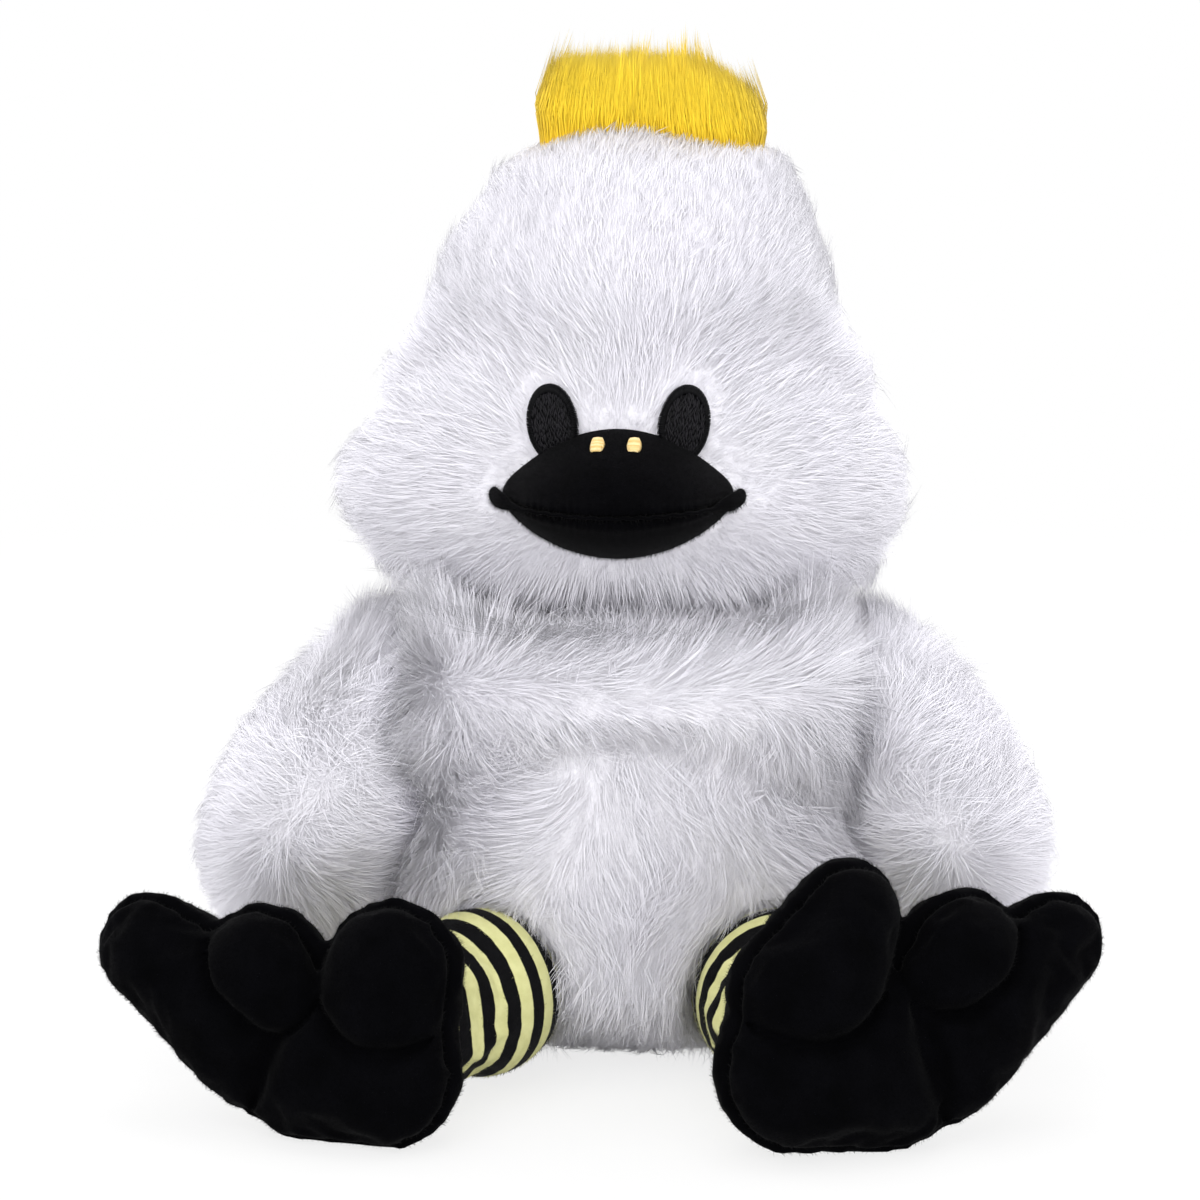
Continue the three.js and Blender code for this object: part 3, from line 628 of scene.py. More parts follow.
def body_skin():
    skin = Skin(plump(BODY, *BODY_GRID)).swell(-SKIN_DEPTH)
    p = skin.points
    # The roll of the chest and the fold under it, and no hollow beside the wings
    fold = 84.5 - 0.009 * p[..., 0] ** 2
    roll = ROLL_RISE * ramp(p[..., 2], fold - 2, fold + 9) * (1 - 0.4 * ramp(p[..., 2], 100, 109))
    beside = groove(p) * (1.5 + 3.5 * ramp(p[..., 2], 72, 88))
    skin.swell(ramp(-p[..., 1], -10, 30) * roll + beside + waves(p, 50, 5))
    p = skin.points
    p[..., 2] = np.clip(p[..., 2], SEAT_FLOOR, BODY_ROOF)
    p = pressed(p, NECK, NECK_RADIUS + SOCKET_GAP, DOWN)
    for name in SIDES:
        hip, ankle = leg_axis(name)
        p = pressed(p, hip, HIP_RADIUS, unit(hip - ankle))
    return Skin(p)


def wing_skin(side):
    skin = Skin(plump([(z, side * x, *rest) for z, x, *rest in WING], *WING_GRID)).swell(-SKIN_DEPTH)
    p = skin.swell(0.8 * waves(skin.points, 40, 7 + side)).points
    # Its inner side lies against the body
    out = np.clip(inside(BODY, p, 4), 0.05, 1)
    return Skin(p / np.stack([out, out, np.ones_like(out)], -1))


# Which way the pile lies, how long it is and how far it stands out

def jowl(at):
    """1 along the lower edge of the cheeks, whose pile hangs onto the chest."""
    return ramp(-at[:, 2], -130, -117)


def comb_head(at):
    local = head_frame(at)
    away = unit(local - BEAK_MIDDLE) + 0.25 * waves(local, 40, 21)[:, None] * np.array([1.0, 0, 0])
    back = ramp(local[:, 1], -5, 35)[:, None]
    hang = (1.3 + 1.5 * ramp(np.abs(local[:, 0]), 38, 52)) * jowl(at)
    return turned((1 - back) * away + back * DOWN + hang[:, None] * DOWN)


def head_length(size):
    """Long at the lower edge of the cheeks and the nape, short on the crown."""
    def length(at):
        edge = np.maximum(ramp(np.abs(at[:, 0]), 38, 52), ramp(at[:, 1], 12, 32))
        return (size * (1 - 0.35 * ramp(at[:, 2], 180, 205))
                + (4.5 + 3 * edge) * jowl(at) * (1 + 0.5 * waves(at, 16, 23)))
    return length


def neck_turn(at):
    """The angle by which the body's pile turns sideways and then upward, to meet the cheeks."""
    return math.pi * ramp(at[:, 2], 86, 108)


def comb_body(at):
    nil = np.zeros(len(at))
    swirl = np.stack([waves(at, 42, 31), nil, 0.8 * waves(at, 38, 32)], -1)
    belly = (bell(at[:, 2] - 60, 26) * ramp(-at[:, 1], 0, 30))[:, None]
    away = np.stack([at[:, 0] / 90, at[:, 1] / 120, nil], -1)
    turn = neck_turn(at)[:, None]
    round_body = unit(np.stack([-at[:, 1], at[:, 0], nil], -1))
    return np.cos(turn) * DOWN * (1 - 0.55 * belly) + np.sin(turn) * round_body + away + (0.3 + 0.9 * belly) * swirl


def groove(at):
    """1 in front where the body meets the wings."""
    turn = np.degrees(np.arctan2(np.abs(at[..., 0]), -at[..., 1]))
    return bell(turn - 52, 12) * ramp(at[..., 2], 15, 35)


def body_lift(at):
    return BODY_LIFT + 0.12 * np.sin(neck_turn(at)) + 0.35 * groove(at)


def body_length(size):
    return lambda at: size * (1 + 0.4 * groove(at) + 0.35 * ramp(at[:, 2], 93, 106))


def inner_edge(at):
    """1 on the front of a wing next to the body."""
    return (1 - ramp(inside(BODY, at), 1.02, 1.22)) * (1 - ramp(at[:, 1], -5, 25))


def wing_star(side):
    """Where the pile of a wing parts and lies outward from."""
    return np.array([side * 84, -40, 46.0])


def comb_wing(side):
    def comb(at):
        swirl = np.stack([waves(at, 36, 41 + side), np.zeros(len(at)), waves(at, 36, 43 + side)], -1)
        back = ramp(at[:, 1], -5, 25)[:, None]
        # Next to the body it lies over onto the belly, and at the shoulder it stands up under the cheek
        inner = inner_edge(at)[:, None]
        over = 1.8 * inner * np.array([-side, -0.2, -0.2])
        front = 0.8 * unit(at - wing_star(side)) + 0.6 * DOWN + side * np.array([0.25, 0, 0]) + over
        rise = 3 * ramp(at[:, 2], 94, 102)[:, None] * (1 - 0.7 * inner) * UP
        return (1 - back) * front + back * (DOWN + side * np.array([0.3, 0, 0])) + 0.5 * swirl + rise
    return comb


def wing_lift(side):
    def lift(at):
        parting = bell(np.linalg.norm(at - wing_star(side), axis=-1), 12)
        return BODY_LIFT + 0.5 * parting + 0.4 * np.maximum(ramp(at[:, 2], 90, 101), inner_edge(at))
    return lift


def wing_length(size):
    return lambda at: size * (1 + 0.35 * inner_edge(at))


def hidden(at, level):
    """1 on the flat round the neck, between the head and the body."""
    return (np.abs(at[:, 2] - level) < 0.7) * (np.hypot(at[:, 0], at[:, 1]) < 40)


def trim_head(at):
    """Shorter pile round the eyes and the beak, and none under them."""
    local = head_frame(at)
    beak, eyes = beak_distance(local), nearest_eye(local)
    # What would lie across an eye is short, and stays under it
    way = unit(local - BEAK_MIDDLE)
    across = np.min([nearest_eye(local + reach * way) for reach in (3, 6, 9, 12)], axis=0)
    size = np.where((eyes < 1.02) | (across < 1.3), 0.4, 0.9)
    size = np.minimum(size, ramp(beak, 0.9, 1.6) * 0.6 + 0.4)
    size = np.where((eyes < 0.6) | (beak < 0.9), 0, size)
    size = np.where(local[:, 1] < 0, size, 1)
    crest = np.hypot((local[:, 0] - CREST_MIDDLE[0]) / 24, local[:, 1] / 9)
    return size * np.where(local[:, 2] > 205, ramp(crest, 0.75, 1.15), 1) * (1 - 0.65 * hidden(at, HEAD_FLOOR))


def trim_body(at):
    """No pile inside the legs, and short pile under the seat and in the neck."""
    size = np.ones(len(at))
    for name in SIDES:
        hip, ankle = leg_axis(name)
        way = unit(ankle - hip)
        off = at - hip
        along = off @ way
        distance = np.linalg.norm(off - along[:, None] * way, axis=-1)
        size *= np.where(along > -12, ramp(distance, LEG_CLEAR - 4, LEG_CLEAR + 2), 1)
    return size * (0.35 + 0.65 * ramp(at[:, 2], 2, 14)) * (1 - 0.65 * hidden(at, BODY_ROOF))


# Where the pile grows

def facing(sign):
    """The half of a form that faces forward, -1, or backward, 1."""
    return lambda points, normals: sign * points[..., 1] > 0


def body_cover(sign):
    """Half of the body, with denser pile at the top of the chest and beside the wings."""
    half = facing(sign)
    return lambda points, normals: half(points, normals) * (
        1 + 1.2 * ramp(points[..., 2], 95, 103) + 1.2 * groove(points))


def off_body(points, normals):
    """The part of a wing that isn't against the body."""
    return inside(BODY, points, 1) > 1


def build_fur():
    head, body = head_skin(), body_skin()
    skin_piece("head_skin", head, WHITE_BACKING, "head", "head_cover", "head_fill", fill=0.9)
    skin_piece("body_skin", body, WHITE_BACKING, "body", "body_cover", "body_fill", "seat_pellet_bag", fill=0.85)
    for kind, halves, long, settings in (
        ("pile", {"front_1": -1, "front_2": -1, "back": 1}, PILE_LENGTH, {**FINE, "width": 0.075}),
        ("fur", {"front": -1, "back": 1}, FUR_LENGTH, LOCKS),
    ):
        looser = {**settings, "gather": min(settings["gather"], HEAD_GATHER)}
        for label, sign in halves.items():
            grow(f"head_{kind}_{label}", head, STRANDS[kind], WHITE_FUR, "head", comb_head, facing(sign),
                 head_length(long), HEAD_LIFT, trim=trim_head, **looser)
            grow(f"body_{kind}_{label}", body, STRANDS[kind], WHITE_FUR, "body", comb_body, body_cover(sign),
                 body_length(long), body_lift, stray=0.25, trim=trim_body, **settings)
    for name, side in SIDES.items():
        wing, rider = wing_skin(side), f"wing_{name}"
        skin_piece(f"{rider}_skin", wing, WHITE_BACKING, rider, f"{rider}_cover", f"{rider}_fill", fill=0.8)
        for kind, long, settings in (("pile", PILE_LENGTH, {**FINE, "width": 0.085}), ("fur", WING_FUR_LENGTH, LOCKS)):
            grow(f"{rider}_{kind}", wing, STRANDS[f"wing_{kind}"], WHITE_FUR, rider, comb_wing(side), off_body,
                 wing_length(long), wing_lift(side), **settings)


def build_crest():
    stations = [(a * CREST_HALF_LENGTH, -l * CREST_DROOP, 0, t * CREST_HALF_HEIGHT, d * CREST_HALF_DEPTH,
                 d * CREST_HALF_DEPTH) for a, l, t, d in CREST_SECTIONS]
    skin = Skin(plump(stations, *CREST_GRID, across=True) + CREST_MIDDLE)
    # Its underside follows the crown
    levels = np.linspace(190, 228, 77)
    cover = np.stack([inside(HEAD, skin.points * [1, 1, 0] + [0, 0, z]) for z in levels])
    crown = levels[np.maximum((cover < 1).sum(0) - 1, 0)]
    low = ramp(-skin.normals[..., 2], 0.0, 0.7)
    skin.points[..., 2] += low * (crown - CROWN_DEPTH + 0.4 - skin.points[..., 2])
    skin.measure()

    # The brush: locks that stand up from the strip to one even top, with a few longer ones
    for label, (locks, clump) in CREST_LOCKS.items():
        u, v, across, along = skin.scatter(locks, lambda points, normals: normals[..., 2] > -0.3)
        each = np.repeat(np.arange(locks), clump)
        spot = rng.uniform(-1.2, 1.2, (2, len(each)))
        root, normal = skin.at(u[each] + spot[0] / across[each], v[each] + spot[1] / along[each])
        off = rng.normal(size=(locks, 3))[each] * [0.7, 0.7, 0.9] + rng.normal(size=root.shape) * [0.6, 0.6, 0.7]
        x = CREST_MIDDLE[0] + CREST_FAN * (root[:, 0] - CREST_MIDDLE[0]) + off[:, 0]
        y = 1.25 * root[:, 1] + 1.4 * off[:, 1]
        tall = np.where(rng.random(locks) < 0.06, rng.uniform(*CREST_TALL, locks), 0)[each] * (label == "fur")
        z = (CREST_TOP - CREST_FALL * ramp(x, 14, 36) - 5 * ramp(-x, 12, 24) - 0.05 * y**2 + 1.5 * off[:, 2]
             + tall - 1.5 * rng.random(len(x)))
        tip = np.stack([x, y, z], -1)
        middle = root + 0.5 * (tip - root) + 0.12 * normal * np.linalg.norm(tip - root, axis=-1, keepdims=True)
        path = [root, tip] if label == "pile" else [root, middle, tip]
        strands(f"crest_{label}", [turned(p) for p in path], unit(normal + [0, 0, 0.6]), CREST_STRAND, (0.85, 0.5),
                0.9, YELLOW_FUR, "head")
    skin_piece("crest_skin", Skin(turned(skin.points)), YELLOW_BACKING, "head", "crest_backing", "crest_tuft",
               fill=0.7)


def build_neck():
    """The stuffed neck, gathered where the head and the body are sewn to it."""
    rise = np.linspace(-math.pi / 2, math.pi / 2, 40)[:, None]
    angle = round_angles(96)[None]
    radius = (NECK_RADIUS - 0.4) * (1 - 0.02 * (1 + np.cos(18 * angle)) * np.cos(rise) ** 2)
    level = radius * np.cos(rise)
    points = np.stack([level * np.cos(angle), level * np.sin(angle), radius * np.sin(rise)], -1) + NECK
    skin_piece("neck_skin", Skin(points), WHITE_BACKING, "neck", "neck_fill", fill=0.95)


# Beak

def face_depth(x, z):
    """How far forward the face is, in the head's own frame."""
    half = section(HEAD, z)
    return -half[..., 1] * np.sqrt(np.maximum(1 - (x / half[..., 0]) ** 2, 0))


def beak_sizes(rows):
    """Place across, half height and reach of the beak's sections."""
    s = np.array(BEAK_SECTIONS, float) * [BEAK_HALF_WIDTH - BEAK_POINT, BEAK_HALF_HEIGHT, BEAK_REACH]
    return smooth(s[:, :1], rows, 1), *np.split(smooth(s[:, 1:], rows, -1), 2, 1)


def bill(sign):
    """One half of the beak, above the mouth where sign is 1: a rounded outside and a flat inside."""
    x, high, reach = beak_sizes(BILL_ROWS)
    if sign < 0:  # the lower bill is fuller towards its corners
        high = BEAK_HALF_HEIGHT * (np.maximum(high, 0) / BEAK_HALF_HEIGHT) ** 0.8
    mouth = -MOUTH_DROP * high / BEAK_HALF_HEIGHT + sign * MOUTH_GAP
    first = np.arcsin(np.clip(np.abs(mouth / np.maximum(high, 0.05)), 0, 1) ** (BEAK_POWER / 2)) * np.sign(mouth)
    edge = np.linspace(0, 1, BILL_ARC)[None]  # from the mouth round to the back
    angle = sign * first + edge * (BILL_WRAP - sign * first)
    bulge = lambda share: np.sign(share) * np.abs(share) ** (2 / BEAK_POWER)
    y = -np.where(np.cos(angle) > 0, reach, BEAK_BACK * ramp(high, 0, 4)) * bulge(np.cos(angle))
    z = sign * high * bulge(np.sin(angle))
    # The mouth's edge is gathered on its seam: small upright folds that fade away from it
    fold = np.sin(x * 2.9 + 1.3 * np.sin(x * 0.7)) + 0.6 * np.sin(x * 4.3 + 1)
    out = GATHER_DEPTH * fold * bell(edge, 0.13) * ramp(high, 1, 6)
    out = out - SEAM_DEPTH * bell(edge, 0.025) * ramp(high, 1, 5) + LIP_RISE * bell(edge - 0.09, 0.05)
    out = out * ramp(high, 0, 3)
    y = y - out * np.cos(np.clip(angle, 0, math.pi / 2))
    z = z + sign * out * np.sin(angle)
    back = np.linspace(0, 1, BILL_FLAT + 2)[None, 1:-1]
    y = np.concatenate([y, y[:, -1:] + back * (y[:, :1] - y[:, -1:])], 1)
    z = np.concatenate([z, z[:, -1:] + np.minimum(back * 2.5, 1) * (mouth - z[:, -1:])], 1)
    points = np.stack([np.repeat(x, BILL_ARC + BILL_FLAT, 1), y, z], -1) + BEAK_MIDDLE
    points[..., 1] = np.minimum(points[..., 1], face_depth(points[..., 0], points[..., 2]) + BEAK_INSET)
    return Skin(turned(points)[:, ::-sign])


def build_beak():
    def comb(at):
        return np.array([0, -0.4, -1.0]) + 0.4 * waves(at, 12, 51)[:, None]

    for label, sign, *fill_node in (("upper", 1, "beak_fill"), ("lower", -1)):
        skin = bill(sign)
        skin_piece(f"beak_{label}", skin, BLACK_PLUSH, "head", f"beak_{label}_cover", *fill_node, fill=0.8)
        grow(f"beak_{label}_pile", skin, STRANDS["beak"], BLACK_PILE, "head", comb,
             lambda points, normals: normals[..., 1] < 0.35, **BEAK_PILE)

    # The seam's edge runs along the mouth and ends in a small point at each corner
    x, high, reach = beak_sizes(SEAM_ROWS)
    x = x * BEAK_HALF_WIDTH / (BEAK_HALF_WIDTH - BEAK_POINT)
    front = face_depth(x, np.full_like(x, BEAK_MIDDLE[2])) - BEAK_MIDDLE[1]
    y = np.minimum(-(reach + 0.15), front - 1.5)
    z = -MOUTH_DROP * high / BEAK_HALF_HEIGHT - 0.15 * np.sin(x * 1.7) * ramp(high, 0, 8)
    line = np.concatenate([x, y, z], 1) + BEAK_MIDDLE
    way = unit(np.gradient(line, axis=0))
    side = unit(np.cross(way, UP))
    angle = round_angles(SEAM_COLUMNS)
    corner = ramp(np.abs(x), BEAK_HALF_WIDTH - 7, BEAK_HALF_WIDTH - 2)
    close = np.sqrt(np.maximum(1 - np.linspace(-1, 1, SEAM_ROWS)[:, None] ** 30, 0))
    wide, thick = np.cos(angle) * (0.6 + 0.9 * corner) * close, np.sin(angle) * (0.4 + 1.7 * corner) * close
    ring = side[:, None] * wide[..., None] + np.cross(way, side)[:, None] * thick[..., None]
    seam = Skin(turned(line[:, None] + ring))
    skin_piece("beak_seam", seam, BLACK_PLUSH, "head")
    grow("beak_seam_pile", seam, STRANDS["seam"], BLACK_PILE, "head", comb, lambda points, normals: 1, **SEAM_PILE)


# Embroidery

def threads(name, path, radius, look, tone, *nodes):
    """Closed round threads on the head. path is points from end to end, one per thread each."""
    rings = len(path)
    points = []
    for ring in range(rings):
        way = unit(path[min(ring + 1, rings - 1)] - path[max(ring - 1, 0)])
        u = unit(np.cross(way, np.array([0.3, -0.9, 0.2])))
        v = np.cross(way, u)
        for angle in round_angles(THREAD_SIDES):
            points.append(path[ring] + radius * (math.cos(angle) * u + math.sin(angle) * v))
    ends = [range(THREAD_SIDES)[::-1], range(len(points) - THREAD_SIDES, len(points))]
    mesh = tubes(name, points, ring_faces(THREAD_SIDES, rings) + ends)
    set_attribute(mesh, "tone", np.repeat(tone, len(points)))
    finish_piece(make_object(name, mesh, look), look, "head", *nodes)


def face_point(x, z, out):
    """Points out from the surface of the face, turned with the head."""
    d = 0.5
    slope = np.stack([(face_depth(x + d, z) - face_depth(x - d, z)) / (2 * d), -np.ones_like(x),
                      (face_depth(x, z + d) - face_depth(x, z - d)) / (2 * d)], -1)
    return turned(np.stack([x, face_depth(x, z), z], -1) + unit(slope) * np.asarray(out)[..., None])


def eye_point(side, share, angle, out):
    """A point of an eye at a share of its oval's radius."""
    x, z = eye_frame(share * EYE_HALF_WIDTH * np.cos(angle), share * EYE_HALF_HEIGHT * np.sin(angle), side)
    return face_point(side * EYE_SPREAD + x, EYE_HEIGHT + z, out)


def build_eyes():
    for name, side in SIDES.items():
        dome = np.linspace(1, 0.05, 14)
        share = np.concatenate([np.linspace(0.05, 1, 6), dome])[:, None]
        out = np.concatenate([np.full(6, EYE_ROOT), EYE_OUT + EYE_DOME * (1 - dome**2)])[:, None]
        base = eye_point(side, *np.broadcast_arrays(share, round_angles(64)[None], out))
        skin_piece(f"eye_{name}_base", Skin(base[:, ::-1]), EYE_RIM, "head", f"eye_{name}", fill=0.6)

        # Fill: short stitches in rows, each a little off its row
        u, v = np.meshgrid(np.arange(-5.4, 5.5, 0.42), np.arange(-8.8, 9, 1.5))
        v = v + 0.75 * (np.arange(u.shape[1]) % 2) + rng.uniform(-0.5, 0.5, u.shape)
        u = u + rng.uniform(-0.12, 0.12, u.shape)
        kept = np.hypot(u / EYE_HALF_WIDTH, v / EYE_HALF_HEIGHT) < 0.86
        u, v = u[kept], v[kept]
        slant, half = rng.uniform(-0.35, 0.35, len(u)), rng.uniform(0.8, 1.25, len(u))
        path = []
        for place, rise in ((-1, -0.15), (-0.55, 0.2), (0, 0.28), (0.55, 0.2), (1, -0.15)):
            x = (u + place * half * np.sin(slant)) / EYE_HALF_WIDTH
            z = (v + place * half * np.cos(slant)) / EYE_HALF_HEIGHT
            ring = np.hypot(x, z)
            path.append(eye_point(side, ring, np.arctan2(z, x), EYE_OUT + EYE_DOME * (1 - ring**2) + rise))
        threads(f"eye_{name}_stitches", path, EYE_THREAD, EYE_FILL, rng.random(len(u)))

        # Rim: satin stitches across the edge
        jitter = rng.uniform(-0.2, 0.2, RIM_STITCHES)
        turn = 2 * math.pi * (np.arange(RIM_STITCHES) + jitter) / RIM_STITCHES
        path = [eye_point(side, np.full(RIM_STITCHES, share), turn, np.full(RIM_STITCHES, EYE_OUT + out))
                for share, out in ((0.80, 0.2), (0.84, 0.75), (0.93, 0.85), (1.02, 0.3), (1.05, -1.2))]
        threads(f"eye_{name}_rim", path, RIM_THREAD, EYE_RIM, rng.random(RIM_STITCHES))


def build_nostrils():
    """Satin stitches across two small ovals on the upper bill."""
    for name, side in SIDES.items():
        low, high = (np.array(corner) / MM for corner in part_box(f"nostril_{name}"))
        middle = head_frame((low + high) / 2)
        middle[0] = side * NOSTRIL_SPREAD
        out = np.array([0, -math.cos(NOSTRIL_TILT), math.sin(NOSTRIL_TILT)])
        climb = np.array([0, math.sin(NOSTRIL_TILT), math.cos(NOSTRIL_TILT)])
        step = np.linspace(-0.94, 0.94, NOSTRIL_STITCHES)
        half = NOSTRIL_HALF_WIDTH * np.sqrt(1 - 0.6 * step**4) + 0.1
        path = []
        for place, rise in ((-1.05, -1.0), (-0.85, 0.2), (0, 0.36), (0.85, 0.2), (1.05, -1.0)):
            points = middle + (step * NOSTRIL_HALF_HEIGHT)[:, None] * climb + rise * out
            points[:, 0] += place * half + 0.12 * step
            path.append(turned(points))
        threads(f"nostril_{name}_stitches", path, NOSTRIL_THREAD, GOLD_THREAD, rng.random(NOSTRIL_STITCHES),
                f"nostril_{name}")


# Stuffed cloth

def read(things, key, kind=np.float32):
    """Three numbers for each of a mesh's points, normals or triangles."""
    values = np.empty(len(things) * 3, kind)
    things.foreach_get(key, values)
    return values.reshape(-1, 3)


def read_points(mesh):
    return read(mesh.vertices, "co").astype(float)


def write_points(mesh, points):
    mesh.vertices.foreach_set("co", points.astype(np.float32).ravel())


def applied(piece):
    """The piece's mesh with its modifiers applied, in place of the old one."""
    mesh = bpy.data.meshes.new_from_object(piece.evaluated_get(bpy.context.evaluated_depsgraph_get()))
    piece.modifiers.clear()
    piece.data = mesh
    return mesh


def stuffed(name, skins, look, held, swell):
    """Closed puffs joined into one piece of cloth and blown up from inside, with its sewn lines held."""
    points, faces, sizes, start = [], [], [], 0
    for skin in skins:
        own, numbers, corners = skin_faces(skin)
        points.append(own)
        faces.append(start + numbers)
        sizes.append(corners)
        start += len(own)
    piece = make_object(name, make_mesh(name, *map(np.concatenate, (points, faces, sizes))), look)
    remesh = piece.modifiers.new("remesh", "REMESH")
    remesh.mode, remesh.voxel_size, remesh.use_smooth_shade = "VOXEL", CLOTH_VOXEL * MM, True
    before = read_points(applied(piece))
    group = piece.vertex_groups.new(name="sewn")
    for i, share in enumerate(held(before / MM)):
        group.add([i], float(share), "REPLACE")
    cloth = piece.modifiers.new("cloth", "CLOTH")
    cloth.settings.vertex_group_mass = "sewn"
    cloth.settings.mass, cloth.settings.shrink_min = CLOTH_MASS, CLOTH_SLACK
    cloth.settings.use_pressure = True
    cloth.settings.uniform_pressure_force = CLOTH_PRESSURE
    cloth.settings.effector_weights.gravity = 0
    cloth.point_cache.frame_start, cloth.point_cache.frame_end = 1, CLOTH_FRAMES
    for number in range(1, CLOTH_FRAMES + 1):
        bpy.context.scene.frame_set(number)
    move = read_points(applied(piece)) - before
    bpy.context.scene.frame_set(1)
    size = np.linalg.norm(move, axis=-1, keepdims=True)
    write_points(piece.data, before + move * np.minimum(1, swell * MM / np.maximum(size, 1e-9)))
    piece.vertex_groups.clear()
    piece.modifiers.new("rounder", "SUBSURF").levels = 1
    applied(piece).materials.clear()
    piece.data.materials.append(look.material)
    return piece


def fuzz(name, piece, count, length, look, body, comb, **measures):
    """Short straight pile on a mesh. measures are further attributes, read at the roots."""
    mesh = piece.data
    mesh.calc_loop_triangles()
    corners = read(mesh.loop_triangles, "vertices", np.int32)
    points, normals = read_points(mesh) / MM, read(mesh.vertex_normals, "vector").astype(float)
    a, b, c = (points[corners[:, i]] for i in range(3))
    area = np.linalg.norm(np.cross(b - a, c - a), axis=-1).cumsum()
    pick = np.searchsorted(area, (np.arange(count) + rng.random(count)) / count * area[-1])
    picked = corners[np.minimum(pick, len(corners) - 1)]
    s, t = np.sqrt(rng.random(count)), rng.random(count)
    shares = np.stack([1 - s, s * (1 - t), s * t], -1)[..., None]
    root, normal = (points[picked] * shares).sum(1), unit((normals[picked] * shares).sum(1))
    way = comb(root) + 0.5 * rng.normal(size=root.shape)
    rise = np.clip(FUZZ_LIFT + 0.15 * rng.normal(size=count), 0.2, 0.95)
    tip = root + length * rng.uniform(0.7, 1.2, (count, 1)) * lean(way, normal, rise)
    tip[:, 2] = np.maximum(tip[:, 2], FUZZ_FLOOR)
    root = root - 0.2 * normal
    tone = np.array([0.1, 0.1, 0.1, 0.9]) + 0.1 * rng.random((count, 1))
    more = {key: np.repeat(measure(root), tone.shape[1]) for key, measure in measures.items()}
    needles(name, [root, tip], normal, [np.full(count, FUZZ_WIDTH)], 0.7, look, body, tone=tone, **more)


def build_leg(name, side):
    hip, ankle = leg_axis(name)
    way, long = unit(ankle - hip), np.linalg.norm(ankle - hip)
    u = unit(np.cross(way, UP))
    v = np.cross(way, u)
    # Half outline: the hip's ball, the tube, and the ankle's ball
    hip_ball, ankle_ball = HIP_RADIUS - SOCKET_GAP, ANKLE_RADIUS - SOCKET_GAP - 0.2
    along = np.sort(np.concatenate([
        -np.cos(np.linspace(0.02, 0.95, 12)) * hip_ball, np.linspace(-10, long + 2, 70),
        long + np.cos(np.linspace(1.3, 0.02, 18)) * ankle_ball,
    ]))
    balls = [np.sqrt(np.maximum(r**2 - (along - c) ** 2, 0)) for r, c in ((hip_ball, 0), (ankle_ball, long))]
    tube = np.where((along > 0) & (along < long), LEG_RADIUS + 0.4 * np.sin(np.pi * along / long), 0)
    radius = np.maximum(np.maximum(*balls), tube)[:, None]
    angle = round_angles(80)[None]
    puckers = 0.35 * np.sin(23 * angle + 2 * np.sin(3 * angle)) * bell(along[:, None] - long, 7)
    radius = radius + np.where(radius > 8, puckers, 0)
    ring = u * np.cos(angle)[..., None] + v * np.sin(angle)[..., None]
    sag = LEG_SAG[name] * np.sin(np.pi * np.clip(along / long, 0, 1))[:, None, None] * np.array([-side, 0, 0])
    points = hip + along[:, None, None] * way + radius[..., None] * ring + sag
    points[..., 2] = np.maximum(points[..., 2], LEG_FLOOR)

    def band(points):
        return (points - hip) @ way + BAND_START

    def held(points):
        s = (points - hip) @ way
        return 1 - ramp(s, 4, 12) * ramp(long - s, 2, 8)

    rider = f"leg_{name}"
    leg = stuffed(f"{rider}_knit", [Skin(points)], STRIPES, held, LEG_SWELL)
    set_attribute(leg.data, "along", band(read_points(leg.data) / MM))
    finish_piece(leg, STRIPES, rider, f"{rider}_cover", f"{rider}_fill", fill=0.85)
    fuzz(f"{rider}_pile", leg, STRANDS["leg"], LEG_FUZZ, STRIPES, rider,
         lambda at: way + 0.5 * waves(at, 15, 61)[:, None], along=band)


def pad(a, b, front, back):
    """A closed puff over the hull of two circles, swollen to the front and the back of the seam."""
    angle = round_angles(720)
    ways = np.stack([np.cos(angle), np.sin(angle)], -1)
    first = ways @ a[:2] + a[2] > ways @ b[:2] + b[2]
    ring = np.where(first[:, None], a[:2] + a[2] * ways, b[:2] + b[2] * ways)
    ring = np.vstack([ring, ring[:1]])
    place = np.concatenate([[0], np.linalg.norm(np.diff(ring, axis=0), axis=1).cumsum()])
    even = np.linspace(0, place[-1], PAD_COLUMNS, endpoint=False)
    edge = np.stack([np.interp(even, place, ring[:, i]) for i in range(2)], -1)
    middle = (a[:2] + b[:2]) / 2
    share = np.sin(np.linspace(0.02, 1, PAD_ROWS) * math.pi / 2)
    share = np.concatenate([share, share[::-1][1:]])[:, None]
    height = np.repeat([-back, front], [PAD_ROWS - 1, PAD_ROWS])[:, None] * np.sqrt(1 - share**2) ** 0.8
    flat = middle + share[..., None] * (edge - middle)
    return np.concatenate([flat, np.repeat(ANKLE_TO_SEAM + height, PAD_COLUMNS, 1)[..., None]], -1)


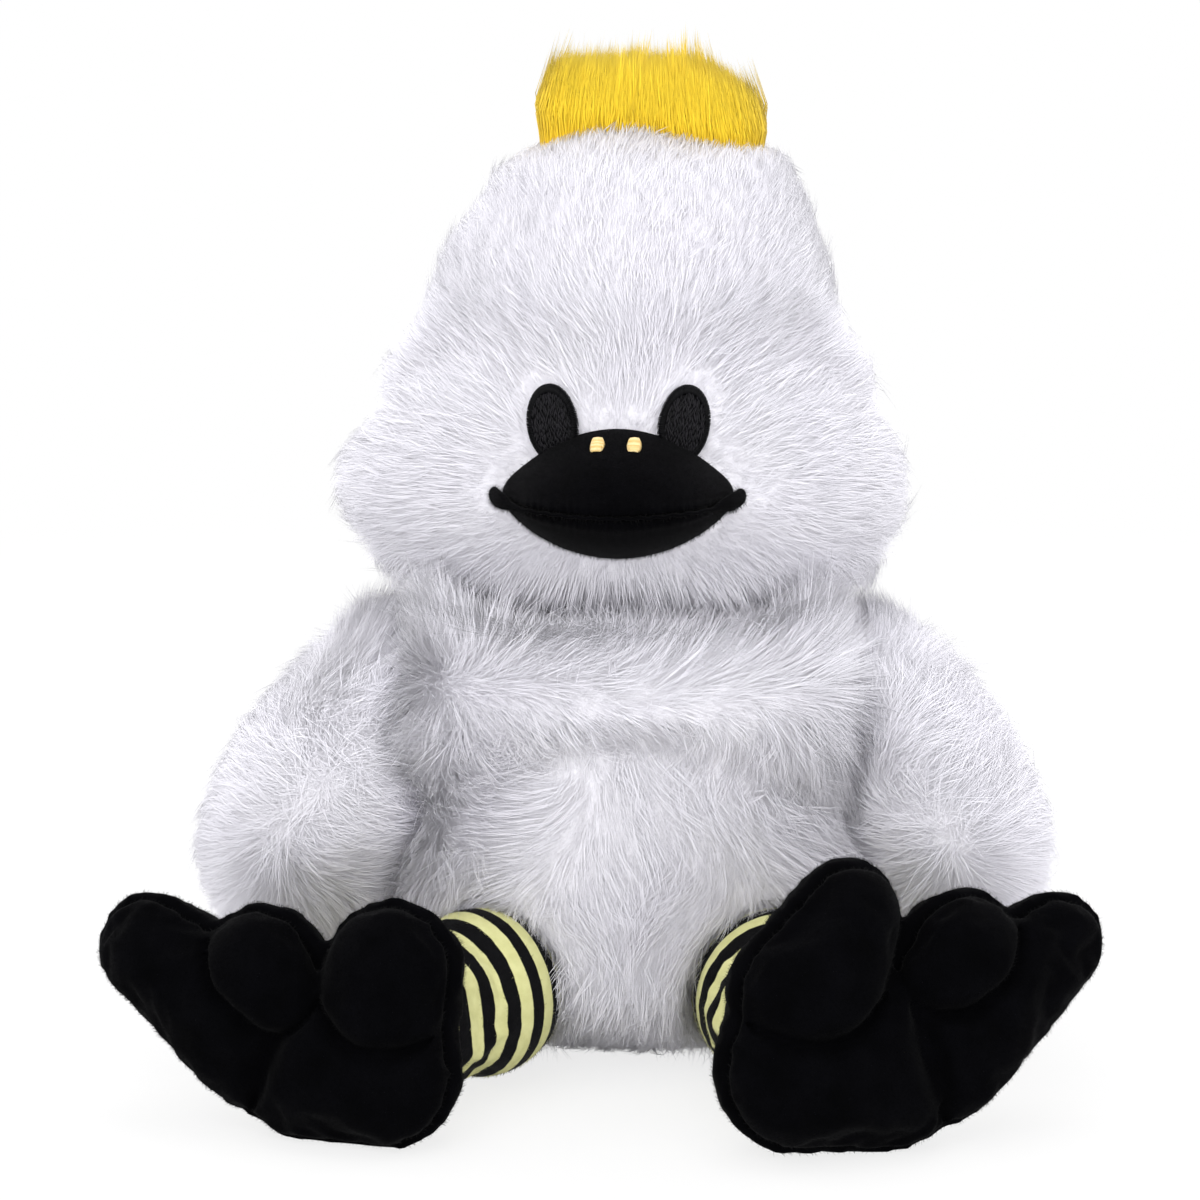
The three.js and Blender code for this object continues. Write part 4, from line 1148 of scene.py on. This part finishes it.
def build_foot(name, side):
    rider, ankle = f"foot_{name}", leg_axis(name)[1]
    turn = np.array(Matrix.Rotation(side * FOOT_YAW, 3, "Z") @ Matrix.Rotation(math.pi / 2 - FOOT_PITCH, 3, "X"))
    pads = [(np.array(a, float), np.array(b, float), bulge) for a, b, bulge in PADS[name]]

    def own(points):
        """Points in the foot's own frame: outward, up, and forward from the ankle."""
        return ((points - ankle) @ turn) * [side, 1, 1]

    def skins(grown, front, back):
        made = [pad(a + [0, 0, grown], b + [0, 0, grown], bulge * front, back) for a, b, bulge in pads]
        return [Skin(((points * [side, 1, 1]) @ turn.T + ankle)[:, ::side]) for points in made]

    def crease(points):
        """Depth of the folds between the pads, where two of them are equally high."""
        heights = []
        for a, b, bulge in pads:
            spots = [a + t * (b - a) for t in np.linspace(0, 1, 9)]
            shares = [np.linalg.norm(points[:, :2] - spot[:2], axis=-1) / spot[2] for spot in spots]
            heights.append(bulge * np.sqrt(np.maximum(1 - np.min(shares, axis=0) ** 2, 0)))
        low, high = np.sort(heights, axis=0)[-2:]
        return FOOT_CREASE * bell(high - low, 1.8) * ramp(low, 1, 5) * ramp(points[:, 2] - ANKLE_TO_SEAM, 0, 4)

    def comb(at):
        return 0.6 * UP + 0.9 * np.stack([waves(at, 30, seed) for seed in (71, 72, 73)], -1)

    for label, grown, front, back, way, nodes in (
        ("sole", 0, 1, SOLE_BACK, 1, [f"{rider}_sole"]),
        ("upper", UPPER_EDGE, 0, UPPER_BULGE, -1, [f"{rider}_upper", f"{rider}_fill"]),
    ):
        def held(points):
            return np.clip(1.3 - way * (own(points)[:, 2] - ANKLE_TO_SEAM) / 4, 0, 1)

        piece = stuffed(f"{rider}_{label}_cloth", skins(grown, front, back), BLACK_PLUSH, held, FOOT_SWELL)
        points = read_points(piece.data) / MM
        if label == "upper":
            points = pressed(points, ankle, ANKLE_RADIUS, turn[:, 2])
        else:
            points = points - crease(own(points))[:, None] * turn[:, 2]
        points[:, 2] = np.maximum(points[:, 2], FOOT_FLOOR)
        write_points(piece.data, points * MM)
        piece.data.update()
        finish_piece(piece, BLACK_PLUSH, rider, *nodes, fill=0.85)
        fuzz(f"{rider}_{label}_pile", piece, STRANDS["foot"], FOOT_FUZZ, BLACK_PILE, rider, comb)


# Stage

def aimed(name, data, place, way):
    """A lamp or a camera that looks a way."""
    holder = bpy.data.objects.new(name, data)
    holder.location = place
    holder.rotation_euler = Vector(way).to_track_quat("-Z", "Y").to_euler()
    bpy.context.scene.collection.objects.link(holder)
    return holder


def build_stage():
    made = Material("floor", Roughness=0.9)
    made.painted(made.colours(made.noise(3), (0.3, (0.9, 0.9, 0.9)), (0.7, (0.93, 0.93, 0.93))))
    # The camera sees a white floor, with the soft shadow that it keeps near the goose
    glow = made.node("Emission", {"Color": (1, 1, 1, 1), "Strength": 1.0})
    far = made.node("VectorMath", {0: made.place()}, operation="LENGTH").outputs["Value"]
    share = made.node("MapRange", {"Value": far, "From Min": 0.2, "From Max": 0.75, "To Min": 0.78, "To Max": 1.0})
    both = made.maths("MULTIPLY", made.seen_directly(), share.outputs["Result"])
    mixer = made.node("MixShader", {0: both, 1: made.shader.outputs["BSDF"], 2: glow.outputs["Emission"]})
    made.give(made.tree.nodes["Material Output"], {"Surface": mixer.outputs["Shader"]})
    corners = np.array([[-4, -4, 0], [4, -4, 0], [4, 4, 0], [-4, 4, 0]]) / MM
    floor = make_object("floor", make_mesh("floor", corners, np.arange(4), [4]), Look(made.material, None))

    scene = bpy.context.scene
    scene.world = bpy.data.worlds.new("studio")
    scene.world.use_nodes = True
    sky = Nodes(scene.world.node_tree)
    strength = sky.node("MapRange", {"Value": sky.seen_directly(), "To Min": WORLD_LIGHT, "To Max": 1.0})
    sky.give(sky.tree.nodes["Background"], {"Color": (1, 1, 1, 1), "Strength": strength.outputs["Result"]})

    for name, (place, size, power) in LAMPS.items():
        lamp = bpy.data.lights.new(name, "AREA")
        lamp.size, lamp.energy = size, power
        aimed(name, lamp, place, LAMP_AIM - Vector(place))

    back = np.array([0, -math.cos(CAMERA_ELEVATION), math.sin(CAMERA_ELEVATION)])
    camera = bpy.data.cameras.new("camera")
    camera.lens, camera.sensor_width = CAMERA_LENS, CAMERA_SENSOR
    scene.camera = aimed("camera", camera, (CAMERA_AIM + CAMERA_DISTANCE * back) * MM, -back)
    scene.view_settings.view_transform = "Standard"


for label, sign in SIDES.items():
    build_foot(label, sign)
    build_leg(label, sign)
build_stage()
build_fur()
build_crest()
build_neck()
build_beak()
build_eyes()
build_nostrils()
